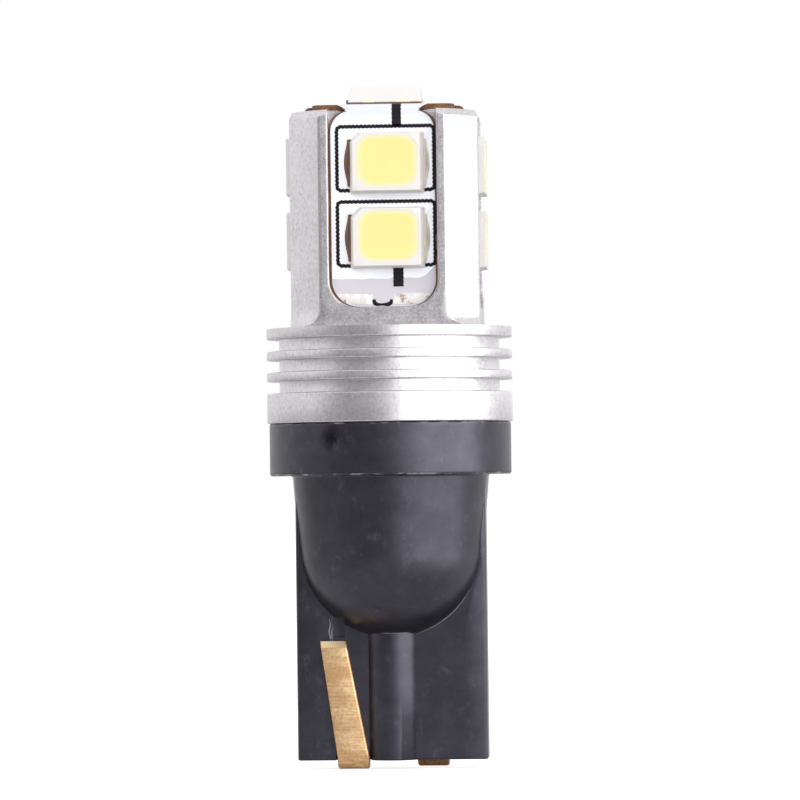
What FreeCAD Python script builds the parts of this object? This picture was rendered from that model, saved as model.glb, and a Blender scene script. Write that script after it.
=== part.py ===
import FreeCAD, Part
import math
import os

from FreeCAD import Vector

# LED bulb for a wedge base socket: a turned and milled aluminium heat sink that carries a
# cross-shaped printed board folded down over four faces, nine LED packages on that board, and a
# black moulded base with two folded brass contacts. The base holds the driver.
# Lengths are in millimetres. The origin is the centre of the blade's end face, +Z points along
# the axis to the top LED, +X runs across the blade's width, and the front face looks along -Y.

# Base: blade, dome, neck, collar and spigot, moulded in one piece
blade_width = 9.04
blade_thickness = 2.2
blade_edge = 0.18
rib_half_width = 1.1
rib_height = 0.6
dome_bottom = 5.69
neck_foot_radius = 4.06
neck_top_radius = 4.68
neck_wall = 0.66
collar_thickness = 2.5
collar_setback = 0.1
collar_edge = 0.12
spigot_wall = 0.8
spigot_lead_in = 0.25
cavity_floor_radius = 2.2
cavity_cone_height = 1.6
dome_floor_thickness = 1.71
dimple_angle = 24.0
dimple_drop = 1.0
dimple_radius = 1.0
dimple_depth = 0.16
hook_slot_width = 0.7
hook_slot_height = 1.0
hook_slot_depth = 0.3
hook_slot_gap = 0.15
hook_slot_shift = 0.2

# Contacts: two brass strips folded round the blade's end
strip_width = 1.5
strip_tip_width = 1.22
strip_thickness = 0.3
strip_bevel = 0.07
strip_offset = 1.85
strip_lean = 9.5
strip_drop = 0.4
strip_inside_length = 1.8
strip_solder_length = 0.8
strip_gap = 0.1
contact_tip_gap = 0.03
slot_clearance = 0.03
mouth_height = 0.25
mouth_clearance = 0.1

# Heat sink: foot ring, fins and milled head
fin_radius = 5.85
fin_edge = 0.12
fin_count = 3
fin_height = 0.43
top_fin_height = 0.5
groove_height = 0.57
groove_depth = 0.6
ring_height = 1.42
head_step = 0.5
head_fillet = 0.8
head_chamfer = 0.35
flat_cut = 0.9
pocket_corner = 1.3
pocket_sill = 0.89
bore_wall = 0.57
foot_wall = 0.65
counterbore_roof = 0.99
spigot_clearance = 0.05
spigot_end_gap = 0.1

# LED board: centre plate and four folded arms
board_thickness = 0.28
arm_recess = 0.6
arm_clearance = 0.025
arm_side_margin = 0.775
arm_foot_margin = 1.795
plate_margin = 0.5
plate_corner = 0.5
neck_width = 3.5
shoulder_radius = 0.95
shoulder_drop = 0.06
fold_inner_radius = 0.05

# LED packages
led_length = 3.5
led_width = 2.86
led_height = 0.82
led_side_slope = 0.115
led_polarity_cut = 0.43
led_top_margin = 1.08
led_offset = 0.2
led_gap = 0.66
window_end_wall = 0.3
window_side_wall = 0.205
window_corner = 0.45
window_depth = 0.5
window_slope = 0.2
phosphor_sink = 0.02
terminal_side_gap = 0.33
terminal_length = 0.9
terminal_thickness = 0.15
terminal_reach = 0.1
arm_solder_bed = 0.04
top_solder_bed = 0.24
solder_toe = 0.22
solder_hollow = 0.4
solder_crescent = 1.46

# Driver: board, chips and feed wires
driver_thickness = 0.8
driver_side_gap = 0.1
driver_top_margin = 0.95
driver_top_gap = 1.4
chip_gap = 0.2
chip_side_gap = 0.57
chip_draft = 0.25
chip_cap_length = 0.35
chip_cap_step = 0.03
rectifier_depth = 1.9
rectifier_length = 4.7
rectifier_lead_spacing = 2.4
regulator_depth = 1.5
regulator_length = 2.5
regulator_lead_spacing = 1.5
capacitor_width = 3.2
capacitor_depth = 1.2
capacitor_length = 1.6
resistor_width = 2.0
resistor_depth = 0.5
resistor_length = 1.25
lead_width = 0.5
lead_reach = 0.45
lead_thickness = 0.2
wire_radius = 0.3
wire_lift = 0.05
wire_spacing = 2.6
wire_overlap = 1.4
solder_radius = 0.5
solder_height = 0.4

# How far a cutter runs past what it cuts
overrun = 1.0

# Heights of the driver board and what is soldered to it, from the hollow's floor upwards
cavity_floor = dome_bottom + dome_floor_thickness
bleed_bottom = cavity_floor + strip_inside_length + chip_gap
regulator_bottom = bleed_bottom + resistor_length + chip_gap
capacitor_bottom = regulator_bottom + regulator_length + lead_reach + chip_gap
sense_bottom = capacitor_bottom + capacitor_length + chip_gap
driver_top = sense_bottom + resistor_length + driver_top_margin
rectifier_bottom = cavity_floor + strip_inside_length + lead_reach + chip_gap

# Heights of the base's top and of the heat sink's foot, which make room for the driver
spigot_top = driver_top + driver_top_gap
counterbore_top = spigot_top + spigot_end_gap
fins_top = counterbore_top + counterbore_roof
fins_height = fin_count * groove_height + (fin_count - 1) * fin_height + top_fin_height
fins_start = fins_top - fins_height
collar_top = fins_start - ring_height
collar_underside = collar_top - collar_thickness
contact_tip_height = dome_bottom - contact_tip_gap

# Heights of the head, which make room for two LEDs on each arm
led_pitch = led_width + led_gap
upper_led_drop = led_top_margin + led_width / 2
pocket_bottom = fins_top + pocket_sill
arm_bottom = pocket_bottom + arm_clearance
head_top = arm_bottom + arm_foot_margin + led_width / 2 + led_pitch + upper_led_drop
board_top = head_top + board_thickness

# Radii and distances from the axis
groove_radius = fin_radius - groove_depth
head_radius = fin_radius - head_step
flat_distance = head_radius - flat_cut
arm_face_distance = flat_distance - arm_recess
pocket_floor = arm_face_distance - board_thickness
bore_radius = pocket_floor - bore_wall
counterbore_radius = groove_radius - foot_wall
spigot_radius = counterbore_radius - spigot_clearance
spigot_bore = spigot_radius - spigot_wall
collar_radius = fin_radius - collar_setback
cavity_radius = neck_foot_radius - neck_wall
blade_face = blade_thickness / 2
driver_face = driver_thickness / 2
inner_leg_depth = driver_face + strip_thickness / 2
outer_leg_depth = blade_face + strip_gap + strip_thickness / 2

# Widths that follow from the sizes above
arm_width = led_length + 2 * arm_side_margin
pocket_width = arm_width + 2 * arm_clearance
plate_width = 2 * (arm_face_distance - plate_margin)
window_length = led_length - 2 * window_end_wall
window_width = led_width - 2 * window_side_wall
terminal_width = led_width - 2 * terminal_side_gap

UP = Vector(0, 0, 1)
ACROSS = Vector(1, 0, 0)
CENTRE = Vector(0, 0, 0)
FACES = ("front", "right", "back", "left")


def rounded_path(corners, closed):
    """A wire of straight runs through the corners, each a point and the radius that rounds it."""
    edges = []
    first_start = None
    last_end = None
    for index, (corner, radius) in enumerate(corners):
        start = end = corner
        if radius > 0:
            before = corners[index - 1][0] - corner
            after = corners[(index + 1) % len(corners)][0] - corner
            half_angle = before.getAngle(after) / 2
            before.normalize()
            after.normalize()
            reach = radius / math.tan(half_angle)
            start = corner + before * reach
            end = corner + after * reach
            towards_centre = (before + after).normalize()
            middle = corner + towards_centre * (radius / math.sin(half_angle) - radius)
        if last_end is not None and start.distanceToPoint(last_end) > 1e-6:
            edges.append(Part.makeLine(last_end, start))
        if radius > 0:
            edges.append(Part.Arc(start, middle, end).toShape())
        if first_start is None:
            first_start = start
        last_end = end
    if closed and last_end.distanceToPoint(first_start) > 1e-6:
        edges.append(Part.makeLine(last_end, first_start))
    return Part.Wire(edges)


def turned(profile):
    """The solid turned from a closed profile of (radius, height, corner radius)."""
    corners = [(Vector(radius, 0, height), corner) for radius, height, corner in profile]
    return Part.Face(rounded_path(corners, True)).revolve(CENTRE, UP, 360)


def front_plate(outline, inner_depth, outer_depth):
    """A plate on the front face, from an outline of (across, height, corner radius)."""
    corners = [(Vector(x, -inner_depth, z), corner) for x, z, corner in outline]
    face = Part.Face(rounded_path(corners, True))
    return face.extrude(Vector(0, inner_depth - outer_depth, 0))


def block(size_x, size_y, size_z, centre_x, centre_y, bottom_z):
    """A box centred on a point in plan and standing on a height."""
    corner = Vector(centre_x - size_x / 2, centre_y - size_y / 2, bottom_z)
    return Part.makeBox(size_x, size_y, size_z, corner)


def turned_round_axis(shape, degrees):
    """A copy of the shape, turned about the bulb's axis."""
    return shape.rotated(CENTRE, UP, degrees)


def chord(radius, offset):
    """Half the width of a circle at a distance from its centre."""
    return math.sqrt(radius**2 - offset**2)


def broken_edges(radius, bottom, top, edge):
    """Profile points up the outside of a turned ring whose two edges are broken."""
    return [
        (radius - edge, bottom, 0),
        (radius, bottom + edge, 0),
        (radius, top - edge, 0),
        (radius - edge, top, 0),
    ]


def arc_radius(width, rise):
    """The radius of an arc that spans a width and rises by a height."""
    return (width**2 / 4 + rise**2) / (2 * rise)


def heat_sink():
    """Foot ring, fins and head, turned, bored from below, then milled on four sides."""
    profile = [(counterbore_radius, collar_top, 0)]
    profile += broken_edges(fin_radius, collar_top, fins_start, fin_edge)
    height = fins_start
    for _ in range(fin_count - 1):
        profile.append((groove_radius, height, 0))
        height += groove_height
        profile.append((groove_radius, height, 0))
        profile += broken_edges(fin_radius, height, height + fin_height, fin_edge)
        height += fin_height
    profile.append((groove_radius, height, 0))
    height += groove_height
    profile.append((groove_radius, height, 0))
    profile.append((fin_radius - fin_edge, height, 0))
    profile.append((fin_radius, height + fin_edge, 0))
    profile.append((fin_radius, fins_top, 0))
    profile.append((head_radius, fins_top + flare_height(), 0))
    profile.append((head_radius, head_top - head_chamfer, 0))
    profile.append((head_radius - head_chamfer, head_top, 0))
    profile.append((bore_radius, head_top, 0))
    profile.append((bore_radius, counterbore_top, 0))
    profile.append((counterbore_radius, counterbore_top, 0))
    body = turned(profile).cut(head_flare_cutter())
    for degrees in range(0, 360, 90):
        body = body.cut(turned_round_axis(flat_and_pocket_cutter(), degrees))
    return body


def flare_height():
    """How high the turned fillet at the head's foot rises above the top fin."""
    reach = min(fin_radius - head_radius, head_fillet)
    return math.sqrt(head_fillet**2 - (head_fillet - reach) ** 2)


def head_flare_cutter():
    """The ring-shaped cut that turns the cone at the head's foot into a hollow fillet."""
    return Part.makeTorus(
        head_radius + head_fillet,
        head_fillet,
        Vector(0, 0, fins_top + flare_height()),
        UP,
    )


def flat_and_pocket_cutter():
    """What the milling cutter takes off the front side: the flat, the pocket and its top edge."""
    flat_depth = fin_radius - flat_distance + overrun
    flat = block(
        2 * fin_radius,
        flat_depth,
        head_top - fins_top + overrun,
        0,
        -flat_distance - flat_depth / 2,
        fins_top,
    )
    half = pocket_width / 2
    outline = [
        (-half, head_top + overrun, 0),
        (-half, pocket_bottom, pocket_corner),
        (half, pocket_bottom, pocket_corner),
        (half, head_top + overrun, 0),
    ]
    pocket = front_plate(outline, pocket_floor, fin_radius)
    edge_break = 2 * fold_inner_radius
    edge = [
        Vector(-half, -pocket_floor - edge_break, head_top),
        Vector(-half, -pocket_floor + edge_break, head_top),
        Vector(-half, -pocket_floor, head_top - edge_break),
    ]
    wedge = Part.Face(Part.makePolygon(edge + [edge[0]])).extrude(ACROSS * pocket_width)
    return flat.fuse([pocket, wedge])


def led_board():
    """Centre plate with rounded corners, and four arms that fold down into the pockets."""
    half = plate_width / 2
    corners = [
        (Vector(x * half, y * half, head_top), plate_corner)
        for x, y in ((-1, -1), (1, -1), (1, 1), (-1, 1))
    ]
    plate = Part.Face(rounded_path(corners, True)).extrude(UP * board_thickness)
    arms = [turned_round_axis(board_arm(), degrees) for degrees in range(0, 360, 90)]
    return plate.fuse(arms).removeSplitter()


def board_arm():
    """The front arm: neck, quarter-round fold, shoulders and a leg with rounded lower corners."""
    half_arm = arm_width / 2
    half_neck = neck_width / 2
    lower_corner = pocket_corner - arm_clearance
    arm_top = head_top - shoulder_drop
    leg = front_plate(
        [
            (-half_arm, arm_bottom, lower_corner),
            (half_arm, arm_bottom, lower_corner),
            (half_arm, arm_top, shoulder_radius),
            (-half_arm, arm_top, shoulder_radius),
        ],
        pocket_floor,
        arm_face_distance,
    )
    fold_depth = pocket_floor - fold_inner_radius
    fold_height = head_top - fold_inner_radius
    neck_bottom = fold_height - shoulder_radius
    neck_profile = [
        (Vector(-half_neck, -pocket_floor, neck_bottom), 0),
        (Vector(-half_neck, -arm_face_distance, neck_bottom), 0),
        (
            Vector(-half_neck, -arm_face_distance, board_top),
            fold_inner_radius + board_thickness,
        ),
        (Vector(-half_neck, 0, board_top), 0),
        (Vector(-half_neck, 0, head_top), 0),
        (Vector(-half_neck, -fold_depth - fold_inner_radius, head_top), fold_inner_radius),
    ]
    neck = Part.Face(rounded_path(neck_profile, True)).extrude(ACROSS * neck_width)
    return leg.fuse(neck)


def rectangle(length, width, height):
    """A closed rectangle, centred on the axis at a height."""
    x = length / 2
    y = width / 2
    points = [Vector(-x, -y, height), Vector(x, -y, height), Vector(x, y, height)]
    points.append(Vector(-x, y, height))
    return Part.makePolygon(points + [points[0]])


def window_outline(height):
    """The window's eight-sided outline in the package, at a height above its seat."""
    shrink = window_slope * (led_height - height) / window_depth
    x = window_length / 2 - shrink
    y = window_width / 2 - shrink
    cut = window_corner
    points = [
        Vector(-x + cut, -y, height),
        Vector(x - cut, -y, height),
        Vector(x, -y + cut, height),
        Vector(x, y - cut, height),
        Vector(x - cut, y, height),
        Vector(-x + cut, y, height),
        Vector(-x, y - cut, height),
        Vector(-x, -y + cut, height),
    ]
    return Part.makePolygon(points + [points[0]])


def lofted(lower, upper):
    """The solid between two closed outlines."""
    return Part.makeLoft([lower, upper], True, True)


def led_terminals():
    """The two flat terminals of one package, as its lead frame leaves them."""
    centre = led_length / 2 + terminal_reach - terminal_length / 2
    sides = (-1, 1)
    return [
        block(terminal_length, terminal_width, terminal_thickness, side * centre, 0, 0)
        for side in sides
    ]


def led_housing():
    """White moulded package, lying on its seat with its window upwards."""
    top_length = led_length - 2 * led_side_slope
    body = lofted(
        rectangle(led_length, led_width, 0),
        rectangle(top_length, led_width - led_side_slope, led_height),
    )
    window = lofted(window_outline(led_height - window_depth), window_outline(led_height))
    cut_size = led_polarity_cut * math.sqrt(2)
    cut_height = led_height + 2 * overrun
    cutter = block(cut_size, cut_size, cut_height, 0, 0, -overrun).rotated(CENTRE, UP, 45)
    cutter.translate(Vector(-top_length / 2, led_width / 2 - led_side_slope / 2, 0))
    return body.cut([window, cutter] + led_terminals())


def led_phosphor():
    """Yellow silicone fill of the window, a hair below its rim."""
    return lofted(
        window_outline(led_height - window_depth),
        window_outline(led_height - phosphor_sink),
    )


def led_solder(bed):
    """Solder under one package's terminals, with a crescent-shaped fillet at each end."""
    terminal_end = led_length / 2 + terminal_reach
    climb = bed + terminal_thickness
    toe = terminal_end + solder_toe
    fillet_edges = [
        Part.makeLine(Vector(terminal_end, 0, 0), Vector(toe, 0, 0)),
        Part.Arc(
            Vector(toe, 0, 0),
            Vector(terminal_end + solder_toe * solder_hollow, 0, climb * solder_hollow),
            Vector(terminal_end, 0, climb),
        ).toShape(),
        Part.makeLine(Vector(terminal_end, 0, climb), Vector(terminal_end, 0, 0)),
    ]
    fillet = Part.Face(Part.Wire(fillet_edges)).extrude(Vector(0, terminal_width, 0))
    fillet.translate(Vector(0, -terminal_width / 2, 0))
    crescent_radius = arc_radius(solder_crescent, solder_toe)
    crescent = Part.makeCylinder(
        crescent_radius,
        2 * climb,
        Vector(toe - crescent_radius, 0, -climb / 2),
    )
    bed_centre = terminal_end - terminal_length / 2
    bed_block = block(terminal_length, terminal_width, bed, bed_centre, 0, 0)
    joint = bed_block.fuse(fillet.common(crescent)).removeSplitter()
    return [joint, joint.rotated(CENTRE, UP, 180)]


def led_seats():
    """Each LED's name, its solder bed and the function that puts a shape on its seat."""

    def on_top(shape):
        return shape.translated(Vector(0, 0, board_top))

    def on_arm(degrees, height):
        def place(shape):
            standing = shape.rotated(CENTRE, ACROSS, 90)
            standing = standing.translated(Vector(led_offset, -arm_face_distance, height))
            return turned_round_axis(standing, degrees)

        return place

    seats = [("top", top_solder_bed, on_top)]
    upper_height = head_top - upper_led_drop
    for index, face in enumerate(FACES):
        degrees = 90 * index
        seats.append((f"{face}_upper", arm_solder_bed, on_arm(degrees, upper_height)))
        lower_height = upper_height - led_pitch
        seats.append((f"{face}_lower", arm_solder_bed, on_arm(degrees, lower_height)))
    return seats


def led_nodes():
    """Housing, phosphor and terminals of every LED, and the solder of them all."""
    nodes = {}
    solder = []
    for name, bed, place in led_seats():
        lift = UP * bed
        nodes[f"led_housing_{name}"] = place(led_housing().translated(lift))
        nodes[f"led_phosphor_{name}"] = place(led_phosphor().translated(lift))
        terminals = Part.makeCompound(led_terminals()).translated(lift)
        nodes[f"led_terminals_{name}"] = place(terminals)
        solder += [place(joint) for joint in led_solder(bed)]
    nodes["led_solder"] = Part.makeCompound(solder)
    return nodes


def base():
    """Collar, neck, dome, blade, ribs and spigot, hollow for the driver."""
    taper = math.atan2(neck_top_radius - neck_foot_radius, collar_underside - dome_bottom)
    dome_radius = neck_foot_radius * math.tan((math.pi / 2 + taper) / 2)
    ledge = collar_radius - neck_top_radius
    edge = min(collar_edge, ledge / 2)
    outside = turned(
        [
            (0, dome_bottom, 0),
            (neck_foot_radius, dome_bottom, dome_radius),
            (neck_top_radius, collar_underside, 0),
            *broken_edges(collar_radius, collar_underside, collar_top, edge),
            (spigot_radius, collar_top, 0),
            (spigot_radius, spigot_top - spigot_lead_in, 0),
            (spigot_radius - spigot_lead_in, spigot_top, 0),
            (0, spigot_top, 0),
        ]
    )
    hollow = turned(
        [
            (0, cavity_floor, 0),
            (cavity_floor_radius, cavity_floor, 0),
            (cavity_radius, cavity_floor + cavity_cone_height, 0),
            (cavity_radius, collar_top, 0),
            (spigot_bore, collar_top + abs(spigot_bore - cavity_radius), 0),
            (spigot_bore, spigot_top + overrun, 0),
            (0, spigot_top + overrun, 0),
        ]
    )
    body = outside.fuse([blade(), rib(1), rib(-1)])
    cutters = [hollow]
    for degrees in (0, 180):
        cutters.append(turned_round_axis(contact_cutter(), degrees))
    cutters.append(collar_dimple())
    return body.cut(cutters).removeSplitter()


def blade():
    """Flat wedge from its end up to the collar, with its long edges and its end broken."""
    corner_x = blade_width / 2
    outline = [
        (Vector(x * corner_x, y * blade_face, 0), 0)
        for x, y in ((-1, -1), (1, -1), (1, 1), (-1, 1))
    ]
    solid = Part.Face(rounded_path(outline, True)).extrude(UP * collar_underside)
    broken = [
        edge
        for edge in solid.Edges
        if edge.BoundBox.ZMax < blade_edge or edge.BoundBox.ZLength > blade_edge
    ]
    return solid.makeChamfer(blade_edge, broken)


def rib(side):
    """Half-round rib down the middle of one side of the blade, from its end into the dome."""
    face = -side * blade_face
    left = Vector(-rib_half_width, face, 0)
    right = Vector(rib_half_width, face, 0)
    crown = Vector(0, face - side * rib_height, 0)
    root = [right, Vector(rib_half_width, 0, 0), Vector(-rib_half_width, 0, 0), left]
    outline = Part.Wire([Part.Arc(left, crown, right).toShape(), *Part.makePolygon(root).Edges])
    return Part.Face(outline).extrude(UP * cavity_floor)


def strip_section(centre_x, depth, height, width, outer_side):
    """Outline of the brass strip at a depth and height, with its outer edges bevelled."""
    left = centre_x - width / 2
    right = centre_x + width / 2
    inner = -depth + outer_side * strip_thickness / 2
    outer = -depth - outer_side * strip_thickness / 2
    outer_bevel = outer + outer_side * strip_bevel
    points = [
        Vector(left, inner, height),
        Vector(left, outer_bevel, height),
        Vector(left + strip_bevel, outer, height),
        Vector(right - strip_bevel, outer, height),
        Vector(right, outer_bevel, height),
        Vector(right, inner, height),
    ]
    return Part.makePolygon(points + [points[0]])


def bend_sizes():
    """The fold's radius at the strip's middle, and the height of its centre."""
    radius = (outer_leg_depth - inner_leg_depth) / 2
    return radius, radius + strip_thickness / 2 - strip_drop


def tip_place():
    """How far across the contact's leaning tip ends."""
    bend_height = bend_sizes()[1]
    lean = (contact_tip_height - bend_height) * math.tan(math.radians(strip_lean))
    return -strip_offset - lean


def contact():
    """Front contact: inner leg on the driver board, fold round the blade's end, outer leg."""
    radius, bend_height = bend_sizes()
    bend_centre = Vector(0, -(inner_leg_depth + radius), bend_height)
    foot = strip_section(-strip_offset, outer_leg_depth, bend_height, strip_width, 1)
    tip = strip_section(tip_place(), outer_leg_depth, contact_tip_height, strip_tip_width, 1)
    fold = Part.Face(foot).revolve(bend_centre, ACROSS, 180)
    inner_leg = strip_section(-strip_offset, inner_leg_depth, bend_height, strip_width, -1)
    leg_top = cavity_floor + strip_inside_length
    inner_leg = Part.Face(inner_leg).extrude(UP * (leg_top - bend_height))
    return lofted(foot, tip).fuse([fold, inner_leg]).removeSplitter()


def contact_cutter():
    """What the moulding leaves open for the front contact: channel, mouth and hook slot."""
    channel_top = cavity_floor + cavity_cone_height
    channel = block(
        strip_width + 2 * slot_clearance,
        strip_thickness + 2 * slot_clearance,
        channel_top + overrun,
        -strip_offset,
        -inner_leg_depth,
        -overrun,
    )
    mouth_depth = blade_thickness - inner_leg_depth
    mouth = block(
        strip_width + 2 * mouth_clearance,
        mouth_depth,
        mouth_height + overrun,
        -strip_offset,
        -inner_leg_depth - mouth_depth / 2,
        -overrun,
    )
    hook_slot = block(
        hook_slot_width,
        hook_slot_depth + overrun,
        hook_slot_height,
        tip_place() + hook_slot_shift,
        -blade_face + (hook_slot_depth - overrun) / 2,
        contact_tip_height + hook_slot_gap,
    )
    return channel.fuse([mouth, hook_slot])


def collar_dimple():
    """Shallow sink mark in the collar's wall, left of the front."""
    dimple = Part.makeSphere(dimple_radius)
    dimple.translate(
        Vector(0, -collar_radius - dimple_radius + dimple_depth, collar_top - dimple_drop)
    )
    return turned_round_axis(dimple, -dimple_angle)


def driver_board():
    """Upright board: narrow foot on the cavity's floor, full width above its cone."""
    foot = chord(cavity_floor_radius - driver_side_gap, driver_face)
    half = chord(min(cavity_radius, spigot_bore) - driver_side_gap, driver_face)
    cone_top = cavity_floor + cavity_cone_height + driver_side_gap
    outline = [
        (-foot, cavity_floor, 0),
        (foot, cavity_floor, 0),
        (half, cone_top, 0),
        (half, driver_top, 0),
        (-half, driver_top, 0),
        (-half, cone_top, 0),
    ]
    return front_plate(outline, -driver_face, driver_face)


def on_driver(depth, side):
    """How far from the axis a part of a depth sits: side 1 is the board's front, -1 its back."""
    return -side * (driver_face + depth / 2)


def chip(width, depth, length, bottom, side):
    """Chip resistor or capacitor with a plated cap at each end."""
    centre_y = on_driver(depth, side)
    body = block(width, depth, length, 0, centre_y, bottom)
    caps = []
    for end in (-1, 1):
        cap = block(
            chip_cap_length + 2 * chip_cap_step,
            depth + chip_cap_step,
            length + 2 * chip_cap_step,
            end * (width - chip_cap_length) / 2,
            centre_y - side * chip_cap_step / 2,
            bottom - chip_cap_step,
        )
        caps.append(cap)
    return body.fuse(caps).removeSplitter()


def moulded_width(depth):
    """How wide a moulded part of a depth may be, to keep its gap to the hollow's wall."""
    return 2 * (chord(cavity_radius, driver_face + depth) - chip_side_gap)


def leaded_part(depth, length, bottom, side, lead_places):
    """Moulded part with sloping edges and flat leads, each at (across, end) of the body."""
    body = block(moulded_width(depth), depth, length, 0, on_driver(depth, side), bottom)
    outer_face = max(body.Faces, key=lambda face: -side * face.CenterOfMass.y)
    body = body.makeChamfer(chip_draft, outer_face.Edges)
    leads = []
    for across, end in lead_places:
        lead = block(
            lead_width,
            lead_thickness,
            2 * lead_reach,
            across,
            on_driver(lead_thickness, side),
            bottom + (length + end * length) / 2 - lead_reach,
        )
        leads.append(lead)
    return body.fuse(leads).removeSplitter()


def bridge_rectifier():
    """Four-legged bridge on the driver board's back."""
    across = rectifier_lead_spacing / 2
    places = [(-across, -1), (across, -1), (-across, 1), (across, 1)]
    return leaded_part(rectifier_depth, rectifier_length, rectifier_bottom, -1, places)


def regulator_ic():
    """Three-legged current regulator on the driver board's front."""
    step = regulator_lead_spacing
    places = [(-step, 1), (0, 1), (step, 1)]
    return leaded_part(regulator_depth, regulator_length, regulator_bottom, 1, places)


def feed_wire_place(side, height):
    """The point on a feed wire's centre line at a height: side -1 is minus, 1 is plus."""
    return Vector(side * wire_spacing / 2, driver_face + wire_lift + wire_radius, height)


def feed_wire(side):
    """Wire from the driver board's back, straight up the heat sink's bore to the LED board."""
    foot = driver_top - wire_overlap
    return Part.makeCylinder(wire_radius, head_top - foot, feed_wire_place(side, foot))


def feed_solder(wires):
    """Solder at both ends of the feed wires: on the driver board and under the LED board."""
    joints = []
    for side, wire in zip((-1, 1), wires):
        low = feed_wire_place(side, driver_top - wire_overlap)
        low.y = driver_face
        high = feed_wire_place(side, head_top)
        for foot, direction in ((low, Vector(0, 1, 0)), (high, -UP)):
            joint = Part.makeCone(solder_radius, wire_radius, solder_height, foot, direction)
            joints.append(joint.cut(wire))
    return Part.makeCompound(joints)


def contact_solder():
    """Solder along both edges of each contact's inner leg, on the driver board."""
    joints = []
    bottom = cavity_floor + strip_inside_length - strip_solder_length
    for side in (-1, 1):
        edge_x = -strip_offset + side * strip_width / 2
        start = Vector(edge_x, -driver_face, bottom)
        start_angle = 270 if side > 0 else 180
        joint = Part.makeCylinder(strip_thickness, strip_solder_length, start, UP, 90)
        joint.rotate(start, UP, start_angle)
        joints += [joint, turned_round_axis(joint, 180)]
    return Part.makeCompound(joints)


def all_nodes():
    """Every piece of the bulb by its name."""
    nodes = {
        "base": base(),
        "heat_sink": heat_sink(),
        "led_board": led_board(),
        "contact_front": contact(),
        "contact_rear": turned_round_axis(contact(), 180),
        "contact_solder": contact_solder(),
        "driver_board": driver_board(),
        "bridge_rectifier": bridge_rectifier(),
        "regulator_ic": regulator_ic(),
        "capacitor": chip(
            capacitor_width, capacitor_depth, capacitor_length, capacitor_bottom, 1
        ),
    }
    for name, bottom in (("sense", sense_bottom), ("bleed", bleed_bottom)):
        resistor = chip(resistor_width, resistor_depth, resistor_length, bottom, 1)
        nodes[f"resistor_{name}"] = resistor
    wires = [feed_wire(-1), feed_wire(1)]
    nodes["feed_wire_minus"] = wires[0]
    nodes["feed_wire_plus"] = wires[1]
    nodes["feed_solder"] = feed_solder(wires)
    nodes.update(led_nodes())
    return nodes


def main():
    os.makedirs("parts", exist_ok=True)
    for name, shape in all_nodes().items():
        shape.exportStep(f"parts/{name}.step")
        volume = sum(solid.Volume for solid in shape.Solids)
        print(f"{name}: {len(shape.Solids)} solids, {volume:.3f} mm3, valid {shape.isValid()}")


main()
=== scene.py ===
# %% [markdown]
# # A wedge base LED bulb
# The bulb is 32 mm tall. A turned and milled aluminium heat sink carries a folded circuit board
# with nine LEDs, and a black moulded base with two brass contacts pushes into its socket.
# Each cell makes one piece or one finish and prints what it made.
# The exact solids come first, since every piece is fitted to them.

# %% The exact solids
import math
import bmesh
import bpy
import numpy as np
from mathutils import Matrix, Vector


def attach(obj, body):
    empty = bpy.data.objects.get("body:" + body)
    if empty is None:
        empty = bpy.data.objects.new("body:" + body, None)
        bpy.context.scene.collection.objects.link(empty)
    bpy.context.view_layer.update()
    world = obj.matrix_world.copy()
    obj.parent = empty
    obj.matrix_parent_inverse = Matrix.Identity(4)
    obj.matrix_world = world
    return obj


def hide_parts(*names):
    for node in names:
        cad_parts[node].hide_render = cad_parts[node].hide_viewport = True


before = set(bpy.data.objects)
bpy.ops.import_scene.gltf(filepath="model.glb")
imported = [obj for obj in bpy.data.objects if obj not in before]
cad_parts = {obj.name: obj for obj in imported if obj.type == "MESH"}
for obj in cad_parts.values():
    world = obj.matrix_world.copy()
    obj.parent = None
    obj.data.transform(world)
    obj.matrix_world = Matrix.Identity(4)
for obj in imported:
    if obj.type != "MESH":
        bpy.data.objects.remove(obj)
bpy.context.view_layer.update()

# %% [markdown]
# ## Sizes
# These are the bulb's own sizes in millimetres. Nearly all are those of the solids, and a few
# are finer, such as the fins' edges and the board's flared necks. The origin is the centre of
# the blade's end, z runs up the axis and the front looks along -y.

# %% Sizes in millimetres
BLADE_WIDTH, BLADE_THICKNESS, BLADE_EDGE = 9.04, 2.2, 0.18
RIB_HALF, RIB_PROUD = 1.1, 0.6
DOME_BOTTOM, NECK_FOOT, NECK_TOP = 5.69, 4.06, 4.68
COLLAR_BOTTOM, COLLAR_TOP, COLLAR_RADIUS, COLLAR_EDGE = 13.5, 16.0, 5.75, 0.12
SPIGOT_RADIUS, SPIGOT_TOP, SPIGOT_BORE = 4.55, 19.4, 3.75
CAVITY_RADIUS, CAVITY_FLOOR, CAVITY_FLOOR_RADIUS, CAVITY_CONE = 3.4, 7.4, 2.2, 1.6
FIN_RADIUS, GROOVE_RADIUS, FIN_EDGE = 5.85, 5.25, 0.08
RING_TOP, GROOVE_HEIGHT, FIN_HEIGHT, FIN_COUNT, FINS_TOP = 17.42, 0.57, 0.43, 3, 20.49
HEAD_RADIUS, HEAD_TOP, HEAD_FILLET, HEAD_CHAMFER = 5.35, 30.66, 0.8, 0.35
FLAT, POCKET_HALF, POCKET_CORNER, POCKET_BOTTOM = 4.45, 2.55, 1.3, 21.38
POCKET_FLOOR, BORE, COUNTERBORE, COUNTERBORE_TOP = 3.57, 3.0, 4.6, 19.5
BOARD, ARM_FACE, BOARD_TOP = 0.28, 3.85, 30.94
PLATE_HALF, PLATE_CORNER, NECK_HALF, NECK_FLARE, ARM_HALF = 3.35, 0.5, 1.75, 0.36, 2.525
SHOULDER, SHOULDER_TOP, ARM_BOTTOM, ARM_CORNER, FOLD_INNER = 0.95, 30.60, 21.405, 1.275, 0.05
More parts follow.
